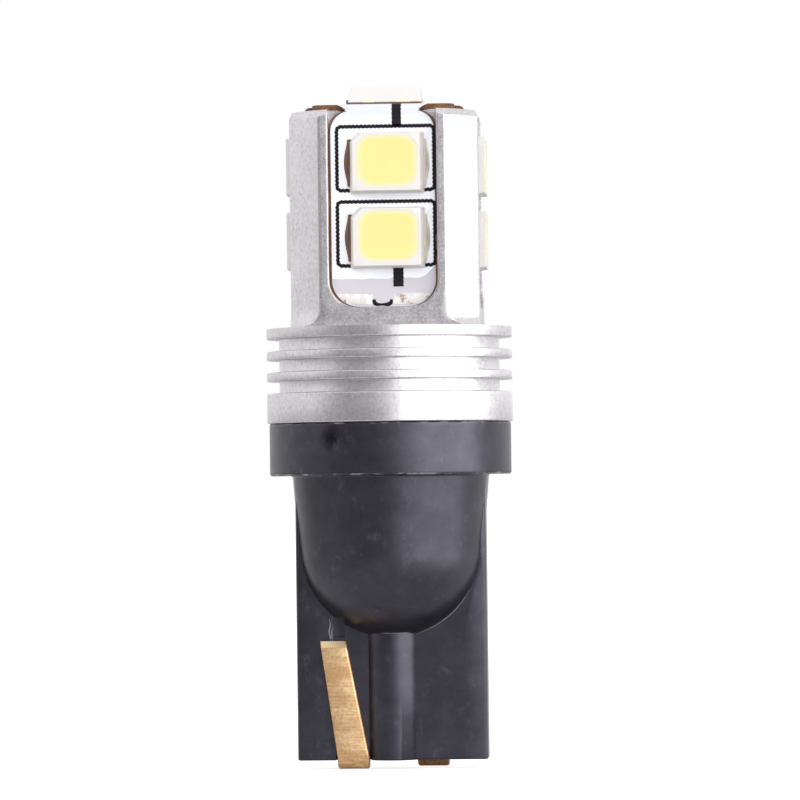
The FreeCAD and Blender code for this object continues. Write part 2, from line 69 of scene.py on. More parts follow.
LED_LENGTH, LED_WIDTH, LED_HEIGHT, LED_CUT = 3.5, 2.86, 0.82, 0.43
WINDOW_LENGTH, WINDOW_WIDTH, WINDOW_CORNER, WINDOW_DEPTH, WINDOW_SLOPE = 2.9, 2.45, 0.45, 0.5, 0.2
TERMINAL_WIDTH, TERMINAL_LENGTH, TERMINAL_THICK, TERMINAL_REACH = 2.2, 0.9, 0.15, 0.1
ARM_BED, TOP_BED, SOLDER_TOE = 0.04, 0.24, 0.17
UPPER_LED, LOWER_LED, LED_OFFSET = 28.15, 24.63, 0.2
STRIP_WIDTH, TIP_WIDTH, STRIP_THICK, STRIP_BEVEL, STRIP_OFFSET, STRIP_LEAN = 1.5, 1.22, 0.3, 0.07, 1.85, 9.5
INNER_LEG, OUTER_LEG, BEND_HEIGHT, TIP_HEIGHT, INNER_TOP = 0.55, 1.35, 0.15, 5.66, 9.2
TIP_GROUND, TIP_SLOPE = 0.3, 0.65
FACES = ("front", "right", "back", "left")
CORNERS = ((-1, -1), (1, -1), (1, 1), (-1, 1))
MM = 0.001
print("height of the top LED in mm:", round(BOARD_TOP + TOP_BED + LED_HEIGHT, 3))

# %% [markdown]
# ## Tools for surfaces
# Most pieces are skins over a stack of outlines: a turned ring, a milled head, a blade or a
# package is an outline that changes with height. One function joins such a stack, and one
# makes the finished object from its skins.

# %% Tools for surfaces
def spin(points, degrees):
    """The points turned about z: (x cos a - y sin a, x sin a + y cos a, z)."""
    a = math.radians(degrees)
    turn = np.array([[math.cos(a), math.sin(a), 0], [-math.sin(a), math.cos(a), 0], [0, 0, 1]])
    return points @ turn


def repeated(shells, times):
    """Each skin repeated a number of times, evenly round the axis."""
    return [(spin(points, 360 * k / times), faces) for points, faces in shells for k in range(times)]


def stack(loops, ends="caps"):
    """Skin over closed outlines. loops is (rows, columns, 3): a point's row gives its outline
    and its column its place on it. Neighbouring rows and columns are joined by quads. The ends
    are closed by "caps", joined to each other as a "ring", or left "open" where they meet in a
    point."""
    loops = np.asarray(loops)
    rows, columns = loops.shape[:2]
    index = np.arange(rows * columns).reshape(rows, columns)
    if ends == "ring":
        index = np.vstack([index, index[:1]])
    low, high = index[:-1], index[1:]
    quads = np.stack([low, np.roll(low, -1, 1), np.roll(high, -1, 1), high], axis=-1)
    faces = quads.reshape(-1, 4).tolist()
    if ends == "caps":
        faces += [index[0][::-1].tolist(), index[-1].tolist()]
    return loops.reshape(-1, 3), faces


def corner_path(corners, closed=False, steps=5):
    """Straight runs through corners (a, b, radius), each corner rounded by an arc: from each
    side of the corner the arc starts radius / tan(half the corner's angle) away."""
    path = []
    count = len(corners)
    for i, (a, b, radius) in enumerate(corners):
        here = np.array([a, b], float)
        if radius <= 0 or (not closed and i in (0, count - 1)):
            path.append(here[None])
            continue
        back = np.array(corners[i - 1][:2], float) - here
        ahead = np.array(corners[(i + 1) % count][:2], float) - here
        back, ahead = back / np.linalg.norm(back), ahead / np.linalg.norm(ahead)
        half = math.acos(np.clip(back @ ahead, -1, 1)) / 2
        reach = radius / math.tan(half)
        middle = (back + ahead) / np.linalg.norm(back + ahead)
        centre = here + middle * radius / math.sin(half)
        first = here + back * reach - centre
        last = here + ahead * reach - centre
        share = np.linspace(0, 1, steps)[:, None]
        sweep = math.pi - 2 * half
        arc = (first * np.sin((1 - share) * sweep) + last * np.sin(share * sweep)) / math.sin(sweep)
        path.append(centre + arc)
    return np.vstack(path)


def coords(*parts):
    """Points from their coordinates. A coordinate given as one number is the same for all."""
    return np.stack(np.broadcast_arrays(*parts), axis=-1)


def revolved(profile, columns=256):
    """Loops of a turned skin: (r cos t, r sin t, z) for each (r, z) of the profile."""
    t = np.linspace(0, 2 * math.pi, columns, endpoint=False)
    r, z = profile[:, :1], profile[:, 1:2]
    return coords(r * np.cos(t), r * np.sin(t), z)


def linked(name, data):
    """A new object with its data, in the scene."""
    made = bpy.data.objects.new(name, data)
    bpy.context.collection.objects.link(made)
    return made


def skin(name, shells):
    """An object from closed skins, in millimetres. Each skin's double points are merged and its
    faces turned outwards before they are joined."""
    whole = bmesh.new()
    for points, faces in shells:
        part = bpy.data.meshes.new(name)
        part.from_pydata((np.asarray(points) * MM).tolist(), [], faces)
        work = bmesh.new()
        work.from_mesh(part)
        bmesh.ops.remove_doubles(work, verts=work.verts, dist=2e-7)
        bmesh.ops.dissolve_degenerate(work, edges=work.edges, dist=1e-7)
        bmesh.ops.recalc_face_normals(work, faces=work.faces)
        work.to_mesh(part)
        whole.from_mesh(part)
        work.free()
        bpy.data.meshes.remove(part)
    mesh = bpy.data.meshes.new(name)
    whole.to_mesh(mesh)
    whole.free()
    return linked(name, mesh)


def finished(made, materials, nodes, choose=None, sharp=30):
    """Gives the object its materials, its shading and its place on the bulb, where it may
    replace nodes. Shading is smooth up to the angle sharp in degrees, smooth all over with
    None, and flat with 0. choose(centres in mm, normals) returns a material's number for each
    face."""
    mesh = made.data
    for material in materials:
        mesh.materials.append(material)
    count = len(mesh.polygons)
    if choose is not None:
        centres, normals = np.empty(count * 3), np.empty(count * 3)
        mesh.polygons.foreach_get("center", centres)
        mesh.polygons.foreach_get("normal", normals)
        numbers = choose(centres.reshape(-1, 3) / MM, normals.reshape(-1, 3))
        mesh.polygons.foreach_set("material_index", numbers.astype(np.int32))
    if sharp != 0:
        mesh.shade_smooth()
    if sharp:
        mesh.set_sharp_from_angle(angle=math.radians(sharp))
    mesh.update()
    if nodes:
        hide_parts(*nodes)
    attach(made, "root")
    print(f"{made.name}: {len(mesh.vertices)} points, {count} faces")


def boolean(target, tool, operation):
    """The target joined with, or cut by, the tool, as an exact Boolean. The tool is used up."""
    change = target.modifiers.new("boolean", "BOOLEAN")
    change.operation = operation
    change.object = tool
    change.solver = "EXACT"
    change.use_self = True
    graph = bpy.context.evaluated_depsgraph_get()
    mesh = bpy.data.meshes.new_from_object(target.evaluated_get(graph))
    target.modifiers.remove(change)
    old, target.data = target.data, mesh
    bpy.data.meshes.remove(old)
    bpy.data.objects.remove(tool)


def rectangle(half_x, half_y, z, corner, steps=4):
    """One closed outline at a height: a rectangle with rounded corners."""
    flat = corner_path([(x * half_x, y * half_y, corner) for x, y in CORNERS], True, steps)
    return coords(*flat.T, z)


print("tools: stacked outlines, turned profiles, rounded corners, skins and Booleans")

# %% [markdown]
# ## Colours and noise
# Colours are picked from the look of each material and turned from sRGB to linear. A material
# is a Principled shader, and each of its textures is one call that adds a node. Patterns are
# counted per real millimetre.

# %% Tools for materials
def linear(code):
    """The linear colour of an sRGB hex code."""
    c = np.array([int(code[i:i + 2], 16) for i in (1, 3, 5)]) / 255
    c = np.where(c <= 0.04045, c / 12.92, ((c + 0.055) / 1.055) ** 2.4)
    return (*c.tolist(), 1.0)


class Finish:
    """A material with its Principled shader. A socket takes a number, a colour code or a link."""

    def __init__(self, name, **sockets):
        self.material = bpy.data.materials.new(name)
        self.material.use_nodes = True
        self.tree = self.material.node_tree
        self.shader = self.tree.nodes["Principled BSDF"]
        self.set(**sockets)

    def set(self, **sockets):
        """Sets sockets of the Principled shader itself."""
        self.fill(self.shader, sockets)

    def fill(self, node, sockets):
        """Sets sockets of a node, by name with _ for a space, or by number after a _."""
        for key, value in sockets.items():
            socket = node.inputs[int(key[1:]) if key[0] == "_" else key.replace("_", " ")]
            if isinstance(value, bpy.types.NodeSocket):
                self.tree.links.new(value, socket)
            else:
                socket.default_value = linear(value) if isinstance(value, str) else value

    def add(self, kind, output=0, settings=(), **sockets):
        """A node of a kind with its settings and sockets. Returns one of its outputs, if any."""
        node = self.tree.nodes.new("ShaderNode" + kind)
        for key, value in dict(settings).items():
            setattr(node, key, value)
        self.fill(node, sockets)
        return node.outputs[output] if len(node.outputs) else None

    def math(self, operation, *values):
        sockets = {f"_{i}": value for i, value in enumerate(values)}
        return self.add("Math", settings={"operation": operation}, **sockets)

    def times(self, first, second):
        return self.math("MULTIPLY", first, second)

    def blend(self, first, part, second):
        """The first value times a part, plus the second times the rest of 1."""
        return self.math("MULTIPLY_ADD", first, part, self.times(second, 1 - part))

    def place(self, per_mm=1):
        """Object coordinates, counted in pattern units per millimetre, the same for all axes or
        one for each."""
        scale = (np.full(3, per_mm) / MM).tolist()
        return self.add("VectorMath", settings={"operation": "MULTIPLY"}, _0=self.add("TexCoord", 3), _1=scale)

    def part(self, axis):
        """The object coordinate x, y or z, for axis 0, 1 or 2, in millimetres."""
        return self.add("SeparateXYZ", axis, Vector=self.place())

    def radius(self):
        """The distance from the bulb's axis in millimetres: the root of x squared plus y squared."""
        squares = [self.math("POWER", self.part(axis), 2.0) for axis in (0, 1)]
        return self.math("SQRT", self.math("ADD", *squares))

    def noise(self, per_mm, detail=3.0, roughness=0.5, **more):
        """Noise with so many lumps per millimetre, or over a vector of its own."""
        vector = per_mm if isinstance(per_mm, bpy.types.NodeSocket) else self.place(per_mm)
        return self.add("TexNoise", Vector=vector, Scale=1.0, Detail=detail, Roughness=roughness, **more)

    def ramp(self, factor, *stops):
        """Colours or greys along a factor, as (position, value) stops."""
        output = self.add("ValToRGB", Fac=factor)
        colours = output.node.color_ramp.elements
        while len(colours) < len(stops):
            colours.new(1.0)
        for element, (position, value) in zip(colours, stops):
            element.position = position
            element.color = linear(value) if isinstance(value, str) else (value, value, value, 1.0)
        return output

    def mix(self, factor, first, second):
        """The first colour turning into the second as the factor goes from 0 to 1 (clamped)."""
        return self.add("Mix", 2, {"data_type": "RGBA"}, _0=factor, _6=first, _7=second)

    def bump(self, height, depth_mm, strength=1.0):
        """Relief from a height, whose full step is a depth in millimetres."""
        self.set(Normal=self.add("Bump", Height=height, Distance=depth_mm * MM, Strength=strength))


print("tools: noise, ramps, mixes and relief, counted in millimetres")

# %% [markdown]
# ## Aluminium, turned and milled
# The heat sink is turned from bar, so its round faces carry fine rings that smear highlights
# up and down. The flats and pockets are milled and tumbled, which leaves a fine speckled grain
# with no direction. Both are bare metal, slightly warm grey.

# %% Turned aluminium and milled aluminium
def turned_aluminium():
    """Bare aluminium, turned: fine rings from the lathe tool, with soft stretched highlights."""
    f = Finish("aluminium, turned", Metallic=1.0, Anisotropic=0.55)
    rings = f.add("CombineXYZ", X=f.times(f.radius(), 9.0), Y=f.times(f.part(2), 9.0))
    lines = f.noise(rings, 3.0, 0.65)
    speck = f.noise((7, 7, 5), 3.0, 0.8)
    tone = f.blend(f.noise((0.5, 0.5, 0.6)), 0.22, speck)
    f.set(Base_Color=f.ramp(tone, (0.34, "#C6C2C6"), (0.5, "#DFDBDF"), (0.66, "#EBE8EB")))
    f.set(Roughness=f.ramp(lines, (0.3, 0.26), (0.75, 0.34)))
    f.set(Tangent=f.add("Tangent", settings={"direction_type": "RADIAL", "axis": "Z"}))
    f.bump(f.math("MULTIPLY_ADD", lines, 0.3, speck), 0.006, 0.8)
    return f.material


def milled_aluminium():
    """Bare aluminium, milled and tumbled: an even speckled grain, duller than the turned faces."""
    f = Finish("aluminium, milled", Metallic=1.0)
    grain = f.noise(9, 4.0, 0.75)
    f.set(Base_Color=f.ramp(f.blend(f.noise(1.6), 0.3, grain), (0.38, "#ABA7AC"), (0.62, "#DFDCE0")))
    f.set(Roughness=f.ramp(grain, (0.3, 0.32), (0.7, 0.44)))
    f.bump(grain, 0.01, 0.8)
    return f.material


TURNED, MILLED = turned_aluminium(), milled_aluminium()
print("materials:", TURNED.name, "/", MILLED.name)

# %% [markdown]
# ## Heat sink
# A lathe makes the foot ring, three fins, the flared head and its top chamfer. A cutter then
# takes four flats and four pockets with rounded lower corners. Here one outline with arcs,
# flats and pocket walls changes with height, so round and milled faces share one skin.

# %% Heat sink
EDGE = 0.05
ARC_POINTS, FLAT_POINTS, EDGE_POINTS, WALL_POINTS, FLOOR_POINTS = 26, 6, 4, 5, 9


def half_face(r, w, floor):
    """Half an outline of the head, from the corner post's diagonal to the face's middle, as
    (across, depth): an arc of radius r, the flat, a rounded edge at half width w, the pocket's
    wall and its floor. Where the arc has eaten the flat, the wall starts on the arc."""
    end = math.sqrt(max(r * r - FLAT * FLAT, 0.0))
    x = max(end, w)
    depth = min(FLAT, math.sqrt(r * r - w * w))
    ease = min(EDGE, max(x - w, 0.0) / 2)
    t = np.linspace(math.pi / 4, math.asin(x / r) + ease / r, ARC_POINTS)
    arc = coords(r * np.sin(t), r * np.cos(t))
    turn = min(EDGE, max(x - w, 0.0), max(depth - floor, 0.0))
    flat = coords(np.linspace(x - ease, w + turn, FLAT_POINTS), depth)
    a = np.linspace(0, math.pi / 2, EDGE_POINTS)
    edge = coords(w + turn - turn * np.sin(a), depth - turn + turn * np.cos(a))
    wall = coords(w, np.linspace(depth - turn, floor, WALL_POINTS))
    bottom = coords(np.linspace(w, 0, FLOOR_POINTS), floor)
    return np.vstack([arc, flat, edge, wall, bottom])


def all_round(half, z):
    """The closed outline at a height from half a face: mirrored, then turned four times."""
    left = coords(-half[:, 0], -half[:, 1], z)
    right = coords(half[::-1, 0], -half[::-1, 1], z)
    face = np.vstack([left, right[1:-1]])
    return np.vstack([spin(face, 90 * k) for k in range(4)])


def circle_like(half, r, z):
    """A circle whose points lie at the same angles as the outline's."""
    t = np.arctan2(half[:, 0], half[:, 1])
    return all_round(coords(r * np.sin(t), r * np.cos(t)), z)


foot_half = POCKET_HALF - POCKET_CORNER
plain = half_face(HEAD_RADIUS, foot_half, FLAT)
corners = [(COUNTERBORE, COLLAR_TOP, 0), (FIN_RADIUS, COLLAR_TOP, FIN_EDGE), (FIN_RADIUS, RING_TOP, FIN_EDGE)]
height = RING_TOP
for fin in range(FIN_COUNT):
    corners += [(GROOVE_RADIUS, height, 0.04), (GROOVE_RADIUS, height + GROOVE_HEIGHT, 0.04)]
    corners += [(FIN_RADIUS, height + GROOVE_HEIGHT, FIN_EDGE)]
    height += GROOVE_HEIGHT + FIN_HEIGHT
    if fin < FIN_COUNT - 1:
        corners += [(FIN_RADIUS, height, FIN_EDGE)]
corners += [(FIN_RADIUS, FINS_TOP, 0)]
loops = [circle_like(plain, r, z) for r, z in corner_path(corners, steps=6)]

flare_centre = FINS_TOP + math.sqrt(HEAD_FILLET**2 - (HEAD_FILLET - FIN_RADIUS + HEAD_RADIUS) ** 2)
for z in np.linspace(FINS_TOP, flare_centre, 9):
    r = HEAD_RADIUS + HEAD_FILLET - math.sqrt(HEAD_FILLET**2 - (z - flare_centre) ** 2)
    loops.append(all_round(half_face(r, foot_half, FLAT), z))
loops.append(all_round(plain, POCKET_BOTTOM))
for t in np.linspace(0, math.pi / 2, 15):
    z = POCKET_BOTTOM + POCKET_CORNER * (1 - math.cos(t))
    w = foot_half + POCKET_CORNER * math.sin(t)
    loops.append(all_round(half_face(HEAD_RADIUS, w, POCKET_FLOOR), z))
top = [(HEAD_RADIUS, 23.5, 0), (HEAD_RADIUS, 29.0, 0), (HEAD_RADIUS, HEAD_TOP - HEAD_CHAMFER, 0.12)]
top += [(HEAD_RADIUS - HEAD_CHAMFER, HEAD_TOP, 0.05), (HEAD_RADIUS - 0.6, HEAD_TOP, 0)]
for r, z in corner_path(top, steps=4)[:-1]:
    floor = POCKET_FLOOR - max(0.0, z - (HEAD_TOP - 2 * FOLD_INNER))
    loops.append(all_round(half_face(r, POCKET_HALF, floor), z))
last = half_face(HEAD_RADIUS - HEAD_CHAMFER, POCKET_HALF, floor)
inner = last.copy()
middle = (POCKET_HALF + floor) / 2
share = np.linspace(0, 1, ARC_POINTS)[:, None]
inner[:ARC_POINTS] = (1 - share) * middle + share * np.array([POCKET_HALF, floor])
inner[ARC_POINTS:-FLOOR_POINTS] = [POCKET_HALF, floor]
loops.append(all_round(inner, HEAD_TOP))
loops.append(circle_like(inner, BORE, HEAD_TOP))
for r, z in ((BORE, 30.0), (BORE, COUNTERBORE_TOP), (COUNTERBORE, COUNTERBORE_TOP), (COUNTERBORE, COLLAR_TOP)):
    loops.append(circle_like(plain, r, z))


def turned_or_milled(centres, normals):
    """1 for faces that the mill cut: flat against one of the four sides, above the fins."""
    across, depth = np.sort(np.abs(centres[:, :2]), axis=1).T
    sideways = np.max(np.abs(normals[:, :2]), axis=1) > 0.999
    pocket = (across < POCKET_HALF + 0.01) & (depth < FLAT + 0.001) & (np.hypot(across, depth) > BORE + 0.2)
    return (centres[:, 2] > FINS_TOP + 0.001) & ((sideways & (depth < FLAT + 0.01)) | pocket)


sink = skin("heat_sink_turned", [stack(loops, "ring")])
finished(sink, [TURNED, MILLED], ["heat_sink"], turned_or_milled, 28)

# %% [markdown]
# ## Black plastic
# The base is injection moulded in black nylon. It is smooth with a soft shine, a little uneven
# from the mould, and its collar is rubbed lighter by handling.

# %% Black plastic
DENT = spin(np.array([[0, -COLLAR_RADIUS, COLLAR_TOP - 0.8]]), -24.5)[0]
DENT_DEPTH, DENT_SIZE, DULL_SPOT_SIZE = 0.1, 0.32, 0.75


def black_plastic(name, smooth, dull, tint="#EAE7FF"):
    """Nylon, injection moulded: near black with a bloom of the tint, between smooth and dull,
    unevenly rubbed and a little dusty. The collar's edges are scuffed pale, and round the dent in
    its side the shine fades out, which leaves a dark spot."""
    f = Finish(name, Specular_Tint=tint)
    mottle = f.noise((0.7, 0.7, 0.9), 5.0, 0.62)
    fine = f.noise(12, 3.0, 0.65)
    middle = (COLLAR_BOTTOM + COLLAR_TOP) / 2
    from_middle = f.math("ABSOLUTE", f.math("SUBTRACT", f.part(2), middle))
    at_edge = f.math("GREATER_THAN", from_middle, COLLAR_TOP - middle - 0.09)
    outside = f.math("GREATER_THAN", f.radius(), COLLAR_RADIUS - 0.11)
    torn = f.ramp(f.noise((1.2, 1.2, 4), 4.0, 0.75), (0.5, 0.0), (0.6, 0.8))
    smears = f.noise((1.3, 1.3, 0.9), 7.0, 0.78, Distortion=0.2)
    dust = f.ramp(smears, (0.56, 0.0), (0.76, 0.19))
    pale = f.math("MAXIMUM", f.times(f.times(at_edge, outside), torn), dust)
    # Round the dent the shine fades out, which leaves a dark spot there.
    away = f.add("VectorMath", 1, {"operation": "DISTANCE"}, _0=f.place(), _1=DENT.tolist())
    shine_kept = f.ramp(f.times(away, 1 / DULL_SPOT_SIZE), (0.1, 0.0), (1.0, 1.0))
    shine = f.times(f.ramp(mottle, (0.35, 0.78), (0.68, 1.0)), f.math("MULTIPLY_ADD", shine_kept, 0.9, 0.1))
    black = f.ramp(mottle, (0.35, "#110F13"), (0.7, "#18161B"))
    f.set(Base_Color=f.mix(pale, black, "#8C8990"), Specular_IOR_Level=shine)
    f.set(Roughness=f.ramp(fine, (0.3, smooth), (0.75, dull)))
    f.bump(f.math("ADD", mottle, f.times(fine, 0.1)), 0.03, 0.3)
    return f.material


BLACK = black_plastic("nylon, moulded black", 0.3, 0.4)
POLISHED = black_plastic("nylon, moulded black against a polished wall", 0.08, 0.14, "#FFE4D6")
print("materials:", BLACK.name, "/", POLISHED.name)

# %% [markdown]
# ## Base
# One moulding: a spigot that goes up into the heat sink, a collar, a tapered neck that ends in
# a dome, and the flat blade with a half-round rib on each side. It is a turned skin joined with
# a blade-shaped one. The hollow, the channels for the contacts and their mouths are cut out.

# %% Base
taper = math.atan2(NECK_TOP - NECK_FOOT, COLLAR_BOTTOM - DOME_BOTTOM)
dome = NECK_FOOT * math.tan((math.pi / 2 + taper) / 2)
upper = corner_path([
    (dome * math.cos(taper), DOME_BOTTOM + dome - dome * math.sin(taper), 0),
    (NECK_TOP, COLLAR_BOTTOM, 0.1), (COLLAR_RADIUS, COLLAR_BOTTOM, COLLAR_EDGE),
    (COLLAR_RADIUS, COLLAR_TOP, COLLAR_EDGE), (SPIGOT_RADIUS, COLLAR_TOP, 0),
    (SPIGOT_RADIUS, SPIGOT_TOP, 0.25), (0, SPIGOT_TOP, 0),
])
t = np.linspace(0, math.pi / 2 - taper, 40)[:-1]
cap = coords(dome * np.sin(t), DOME_BOTTOM + dome - dome * np.cos(t))
profile = np.vstack([cap, upper])
at = int(np.argmax((profile[:, 0] > COLLAR_RADIUS - 1e-6) & (profile[:, 1] > 14)))
wall = coords(COLLAR_RADIUS, np.linspace(profile[at - 1, 1], profile[at, 1], 32)[1:-1])
turned_base = revolved(np.vstack([profile[:at], wall, profile[at:]]), 384)
away = np.linalg.norm((turned_base - DENT) / [1, 1, 1.6], axis=-1)
dent = DENT_DEPTH * np.exp(-((away / DENT_SIZE) ** 2))[..., None]
turned_base[..., :2] *= 1 - dent / COLLAR_RADIUS
body = skin("base_moulded", [stack(turned_base, "open")])


def blade_outline(z, inset):
    """The blade's closed outline at a height: two long sides with a half-round rib in their
    middle, and two short ones, all drawn in by the inset."""
    half_x, half_y = BLADE_WIDTH / 2 - inset, BLADE_THICKNESS / 2 - inset
    radius = (RIB_HALF**2 + RIB_PROUD**2) / (2 * RIB_PROUD)
    half_angle = math.asin(RIB_HALF / radius)
    a = np.linspace(-half_angle, half_angle, 24)
    rib = coords(radius * np.sin(a), -(half_y + radius * np.cos(a) - radius + RIB_PROUD))
    edge = BLADE_EDGE
    side = [[-half_x, -half_y + edge], [-half_x + edge * 0.3, -half_y + edge * 0.3], [-half_x + edge, -half_y]]
    side = np.vstack([side, [[-3.4, -half_y], [-2.2, -half_y]], rib, [[2.2, -half_y], [3.4, -half_y]]])
    front = np.vstack([side, [[half_x - edge, -half_y], [half_x - edge * 0.3, -half_y + edge * 0.3]]])
    flat = np.vstack([front, [[half_x, -half_y + edge]], -front, [[-half_x, half_y - edge]]])
    return coords(*flat.T, z)


rows = [(0.0, 0.06), (0.02, 0.02), (0.06, 0.0), (3.0, 0.0), (6.0, 0.0), (9.0, 0.0), (COLLAR_BOTTOM + 0.1, 0.0)]
blade = skin("blade", [stack([blade_outline(z, inset) for z, inset in rows])])
boolean(body, blade, "UNION")

hollow_profile = np.array([
    [0, CAVITY_FLOOR], [CAVITY_FLOOR_RADIUS, CAVITY_FLOOR], [CAVITY_RADIUS, CAVITY_FLOOR + CAVITY_CONE],
    [CAVITY_RADIUS, COLLAR_TOP], [SPIGOT_BORE, COLLAR_TOP + SPIGOT_BORE - CAVITY_RADIUS],
    [SPIGOT_BORE, SPIGOT_TOP + 1], [0, SPIGOT_TOP + 1],
])
boolean(body, skin("hollow", [stack(revolved(hollow_profile, 96), "open")]), "DIFFERENCE")


def box_shell(low, high, corner=0.03):
    """A box between two corners, with its upright edges rounded."""
    low, high = np.array(low), np.array(high)
    half = (high - low) / 2
    outline = [rectangle(half[0], half[1], z, corner, 3) for z in (low[2], high[2])]
    return stack(np.array(outline) + [*((low + high) / 2)[:2], 0])


tip_x = -STRIP_OFFSET - (TIP_HEIGHT - BEND_HEIGHT) * math.tan(math.radians(STRIP_LEAN))
slot_x = tip_x + 0.2
left, right = -STRIP_OFFSET - STRIP_WIDTH / 2, -STRIP_OFFSET + STRIP_WIDTH / 2
channel = box_shell((left - 0.03, -0.73, -1), (right + 0.03, -0.37, 9.0))
mouth = box_shell((left - 0.1, -2.2, -1), (right + 0.1, -0.55, 0.25))
hook = box_shell((slot_x - 0.35, -2.1, TIP_HEIGHT + 0.15), (slot_x + 0.35, -0.8, TIP_HEIGHT + 1.15))
cutters = [(spin(points, turn), faces) for turn in (0, 180) for points, faces in (channel, mouth, hook)]
boolean(body, skin("cutters", cutters), "DIFFERENCE")


def narrow_side(centres, normals):
    """1 for the blade's two narrow sides, which lay against the mould's polished walls."""
    outermost = np.abs(centres[:, 0]) > BLADE_WIDTH / 2 - 0.1
    return outermost & (np.abs(normals[:, 0]) > 0.8) & (centres[:, 2] < COLLAR_BOTTOM)


finished(body, [BLACK, POLISHED], ["base"], narrow_side, 25)

# %% [markdown]
# ## Moulding flash
# Where the halves of the mould met, thin feathers of plastic were left: along the dome's foot on
# the blade, over the rib's end and beside the slots. They are coloured pale grey: partly whitened
# plastic, and partly a painted highlight for the light their edges catch. Each is a hair-thin tube
# along a line that lies on the surface.

# %% Moulding flash
def hair(line, radius):
    """A four-sided tube along a line of points in millimetres, thinner towards its ends: its
    radius times the root of sin(pi t)."""
    t = np.linspace(0, 1, len(line))
    r = radius * np.sqrt(np.maximum(np.sin(math.pi * t), 0.05))[:, None, None]
    ring = np.array([[1, 1, 1], [-1, 1, 1], [-1, -1, -1], [1, -1, -1]])
    return stack(line[:, None] + ring[None] * r)


# Pale grey: partly whitened flash, partly a painted highlight.
flash = Finish("nylon flash, pale with painted highlight", Base_Color="#8B8890", Roughness=0.5).material
side = -BLADE_THICKNESS / 2
foot = math.sqrt(dome**2 - side**2)
x = np.linspace(1.15, 3.7, 60)
junction = coords(x, side - 0.004, DOME_BOTTOM + dome - np.sqrt(foot**2 - x**2) - 0.01)
x = np.linspace(-0.5, 0.95, 20)
depth = RIB_PROUD - side - 0.26 * x**2
over_rib = coords(x, -depth - 0.005, DOME_BOTTOM + dome - np.sqrt(dome**2 - depth**2 - x**2) - 0.01)
z = np.linspace(5.6, 6.72, 20)
beside = coords(-2.93 + 0.03 * np.sin(z * 9), side - 0.006, z)
z = np.linspace(5.62, 6.3, 14)
inside = coords(-2.8 + 0.04 * np.sin(z * 5), side - 0.006, z)
strands = [hair(junction, 0.018), hair(over_rib, 0.014), hair(beside, 0.022), hair(inside, 0.016)]
finished(skin("base_flash", repeated(strands, 2)), [flash], [], sharp=None)

# %% [markdown]
# ## Brass contacts
# Each contact is a strip stamped from brushed brass, with its outer edges bevelled, folded
# round the blade's end and led up inside to the driver. The outer leg leans outwards. One
# section is carried along that path.

# %% Brass and the two contacts
def brushed_brass():
    """Brass strip, rolled and brushed crosswise: warm yellow with short dark streaks, browner
    in patches, and pale on the ground tip: partly fresh metal, partly a painted highlight for the light its
    slanted face catches."""
    f = Finish("brass, brushed", Metallic=1.0)
    streak = f.noise((0.7, 4, 12), 3.0, 0.65)
    worn = f.blend(streak, 0.5, f.noise(6, 3.0, 0.8))
    bright = f.ramp(worn, (0.36, "#C59664"), (0.5, "#EEC998"), (0.62, "#FDE3BD"))
    brass = f.mix(f.ramp(f.noise((0.8, 0.8, 1.1)), (0.38, 0.35), (0.6, 1.0)), "#D6A678", bright)
    # The ground tip is painted pale: partly fresh metal, partly a painted highlight.
    ground = f.math("GREATER_THAN", f.part(2), TIP_HEIGHT - TIP_GROUND + 0.01)
    f.set(Base_Color=f.mix(ground, brass, "#FBE0B4"), Roughness=f.ramp(streak, (0.3, 0.38), (0.75, 0.52)))
    f.bump(worn, 0.01, 0.6)
    return f.material


BRASS = brushed_brass()
fold = (OUTER_LEG - INNER_LEG) / 2
half, thick = STRIP_WIDTH / 2, STRIP_THICK / 2
section = corner_path([
    (-half, -thick, 0.02), (half, -thick, 0.02), (half, thick - STRIP_BEVEL, 0.02),
    (half - STRIP_BEVEL, thick, 0.02), (-half + STRIP_BEVEL, thick, 0.02), (-half, thick - STRIP_BEVEL, 0.02),
], True, 3)


def along(depth, z, outward=(-1, 0), share=0.0):
    """The section set at a point of the path with its outer side facing outward (y, z). The
    share, from 0 at the fold to 1 at the tip, moves it across along the lean and narrows it."""
    width = STRIP_WIDTH + share * (TIP_WIDTH - STRIP_WIDTH)
    across = section[:, 0] + np.sign(section[:, 0]) * (width / 2 - half)
    centre = -STRIP_OFFSET + share * (tip_x + STRIP_OFFSET)
    out = section[:, 1]
    return coords(across + centre, depth + outward[0] * out, z + outward[1] * out)


rows = []
ground_tip = [TIP_HEIGHT, TIP_HEIGHT - 0.02, TIP_HEIGHT - TIP_GROUND]
for z in np.concatenate([ground_tip, np.linspace(5.2, 0.75, 8), [0.6, 0.4, 0.25]]):
    bow = 0.04 * math.exp(-(((z - 0.45) / 0.22) ** 2))
    row = along(-OUTER_LEG - bow, z, share=(z - BEND_HEIGHT) / (TIP_HEIGHT - BEND_HEIGHT))
    ground = max(0.0, z - TIP_HEIGHT + TIP_GROUND) * TIP_SLOPE
    rows.append(np.where(row[:, 1:2] < -OUTER_LEG, row + [0, ground, 0], row))
for t in np.linspace(0, math.pi, 22):
    centre_y, centre_z = -(OUTER_LEG + INNER_LEG) / 2, BEND_HEIGHT
    y, z = centre_y - fold * math.cos(t), centre_z - fold * math.sin(t)
    rows.append(along(y, z, (-math.cos(t), -math.sin(t))))
rows += [along(-INNER_LEG, z, (1, 0)) for z in (0.8, 3.0, 6.0, INNER_TOP)]
contact_shell = stack(rows)
for name, degrees in (("front", 0), ("rear", 180)):
    made = skin(f"contact_{name}_strip", [(spin(contact_shell[0], degrees), contact_shell[1])])
    finished(made, [BRASS], [f"contact_{name}"])
